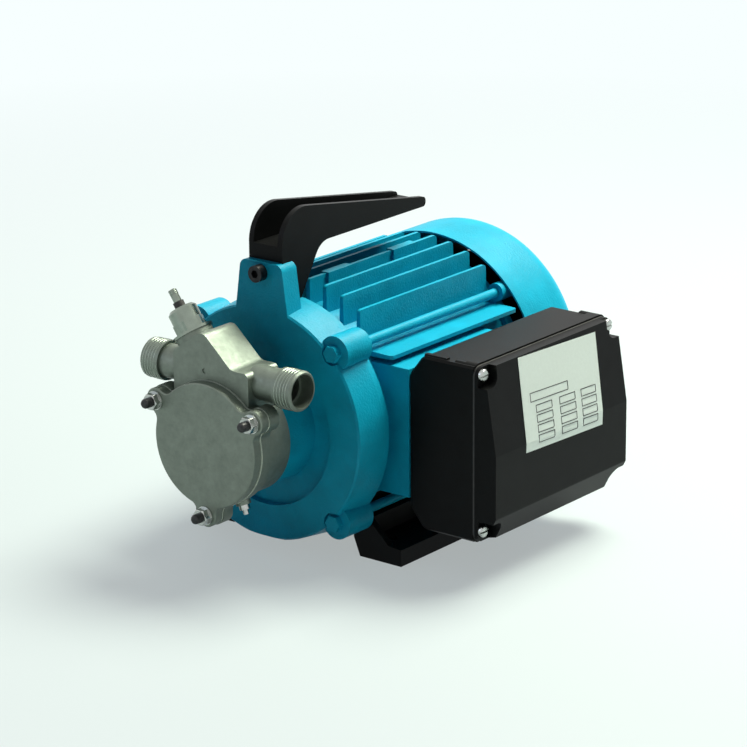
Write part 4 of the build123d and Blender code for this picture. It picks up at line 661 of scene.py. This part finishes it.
def softbox(name, place, target, size, power, color):
    """An area lamp that faces a point."""
    lamp = bpy.data.lights.new(name, "AREA")
    lamp.shape = "RECTANGLE"
    lamp.size, lamp.size_y = size
    lamp.energy = power
    lamp.color = color
    holder = bpy.data.objects.new(name, lamp)
    bpy.context.scene.collection.objects.link(holder)
    holder.location = place
    holder.rotation_euler = (Vector(target) - Vector(place)).to_track_quat("-Z", "Y").to_euler()


def seen_white(tree, shader, color, share=1.0):
    """Mixes in a plain tone that the camera, mirrors and glass see, and that lights nothing."""
    path = tree.nodes.new("ShaderNodeLightPath")
    glow = tree.nodes.new("ShaderNodeEmission")
    glow.inputs["Color"].default_value = (*color, 1)
    mix = tree.nodes.new("ShaderNodeMixShader")
    links = tree.links
    seen = path.outputs["Is Camera Ray"]
    for name in ("Is Glossy Ray", "Is Transmission Ray"):
        either = tree.nodes.new("ShaderNodeMath")
        either.operation = "MAXIMUM"
        links.new(seen, either.inputs[0])
        links.new(path.outputs[name], either.inputs[1])
        seen = either.outputs[0]
    part = tree.nodes.new("ShaderNodeMath")
    part.operation = "MULTIPLY"
    if isinstance(share, bpy.types.NodeSocket):
        links.new(share, part.inputs[1])
    else:
        part.inputs[1].default_value = share
    links.new(seen, part.inputs[0])
    links.new(part.outputs[0], mix.inputs[0])
    links.new(shader, mix.inputs[1])
    links.new(glow.outputs[0], mix.inputs[2])
    return mix.outputs[0]


def lay_floor():
    """The floor that the pump stands on."""
    mesh = bpy.data.meshes.new("floor")
    corners = [(-1, -1), (1, -1), (1, 1), (-1, 1)]
    mesh.from_pydata([(x * FLOOR_REACH, y * FLOOR_REACH, 0) for x, y in corners],
                     [], [(0, 1, 2, 3)])
    floor = bpy.data.objects.new("floor", mesh)
    bpy.context.scene.collection.objects.link(floor)
    paper = Finish("floor paper")
    paper.set({"Roughness": 0.6, "Base Color": (*FLOOR_TONE, 1)})
    output = paper.tree.nodes["Material Output"]
    away = paper.node("ShaderNodeVectorMath")
    away.operation = "LENGTH"
    paper.link(paper.place(), away.inputs[0])
    fade = paper.node("ShaderNodeMapRange")
    paper.link(away.outputs["Value"], fade.inputs["Value"])
    for name, value in zip(("From Min", "From Max", "To Min", "To Max"), FLOOR_FADE):
        fade.inputs[name].default_value = value
    shown = seen_white(paper.tree, paper.shader.outputs[0], BACKDROP_TONE, fade.outputs["Result"])
    paper.link(shown, output.inputs["Surface"])
    mesh.materials.append(paper.material)


def hang_sky(strength):
    """The sky that lights the pump, lighter upwards. Where it is seen it is plain white."""
    world = bpy.data.worlds.new("sky")
    bpy.context.scene.world = world
    world.use_nodes = True
    tree = world.node_tree
    sky = tree.nodes["Background"]
    sky.inputs["Strength"].default_value = strength
    place = tree.nodes.new("ShaderNodeTexCoord")
    split = tree.nodes.new("ShaderNodeSeparateXYZ")
    tree.links.new(place.outputs["Generated"], split.inputs[0])
    rise = tree.nodes.new("ShaderNodeValToRGB")
    set_stops(rise.color_ramp, SKY_TONES)
    tree.links.new(split.outputs["Z"], rise.inputs["Fac"])
    tree.links.new(rise.outputs["Color"], sky.inputs["Color"])
    shown = seen_white(tree, sky.outputs[0], grey(1.0))
    tree.links.new(shown, tree.nodes["World Output"].inputs["Surface"])


def place_camera(lens):
    """The camera at the photograph's viewing angle."""
    data = bpy.data.cameras.new("camera")
    data.sensor_width = 36
    data.lens = lens
    data.clip_start = 0.05
    data.clip_end = 60
    camera = bpy.data.objects.new("camera", data)
    bpy.context.scene.collection.objects.link(camera)
    axes = Matrix(view_axes(CAMERA_AZIMUTH, CAMERA_ELEVATION, CAMERA_ROLL))
    camera.matrix_world = Matrix.Translation(CAMERA_PLACE) @ axes.transposed().to_4x4()
    bpy.context.scene.camera = camera


class PUMP_OT_stage(bpy.types.Operator):
    """Builds the floor, the lights and the camera"""

    bl_idname = "pump.stage"
    bl_label = "Studio"

    def execute(self, context):
        values = settings("pump_studio")
        context.scene.view_settings.view_transform = "Standard"
        lay_floor()
        hang_sky(values.sky)
        for name, place, target, size, power, tint in SOFTBOXES:
            softbox(name, place, target, size, getattr(values, power), tint)
        place_camera(values.lens)
        return {"FINISHED"}


class PUMP_PT_panel(bpy.types.Panel):
    """Lists the pump's operators and settings"""

    bl_idname = "PUMP_PT_panel"
    bl_label = "Self-priming pump"
    bl_space_type = "VIEW_3D"
    bl_region_type = "UI"
    bl_category = "Pump"

    def draw(self, context):
        layout = self.layout
        for group in SETTINGS:
            values = getattr(context.scene, group)
            box = layout.box()
            for name in values.bl_rna.properties.keys():
                if name not in {"rna_type", "name"}:
                    box.prop(values, name)
        for operator in OPERATORS:
            layout.operator(operator.bl_idname)


SETTINGS = {
    "pump_finish": FinishSettings,
    "pump_thread": ThreadSettings,
    "pump_studio": StudioSettings,
}
OPERATORS = (
    PUMP_OT_finishes,
    PUMP_OT_port_threads,
    PUMP_OT_fastener_threads,
    PUMP_OT_label,
    PUMP_OT_stage,
)
CLASSES = (*SETTINGS.values(), *OPERATORS, PUMP_PT_panel)


def register():
    for made in CLASSES:
        bpy.utils.register_class(made)
    for name, made in SETTINGS.items():
        setattr(bpy.types.Scene, name, PointerProperty(type=made))


def unregister():
    for name in SETTINGS:
        delattr(bpy.types.Scene, name)
    for made in reversed(CLASSES):
        bpy.utils.unregister_class(made)


def main():
    register()
    bpy.ops.pump.finishes()
    bpy.ops.pump.port_threads()
    bpy.ops.pump.fastener_threads()
    bpy.ops.pump.label()
    bpy.ops.pump.stage()


if __name__ == "__main__":
    main()
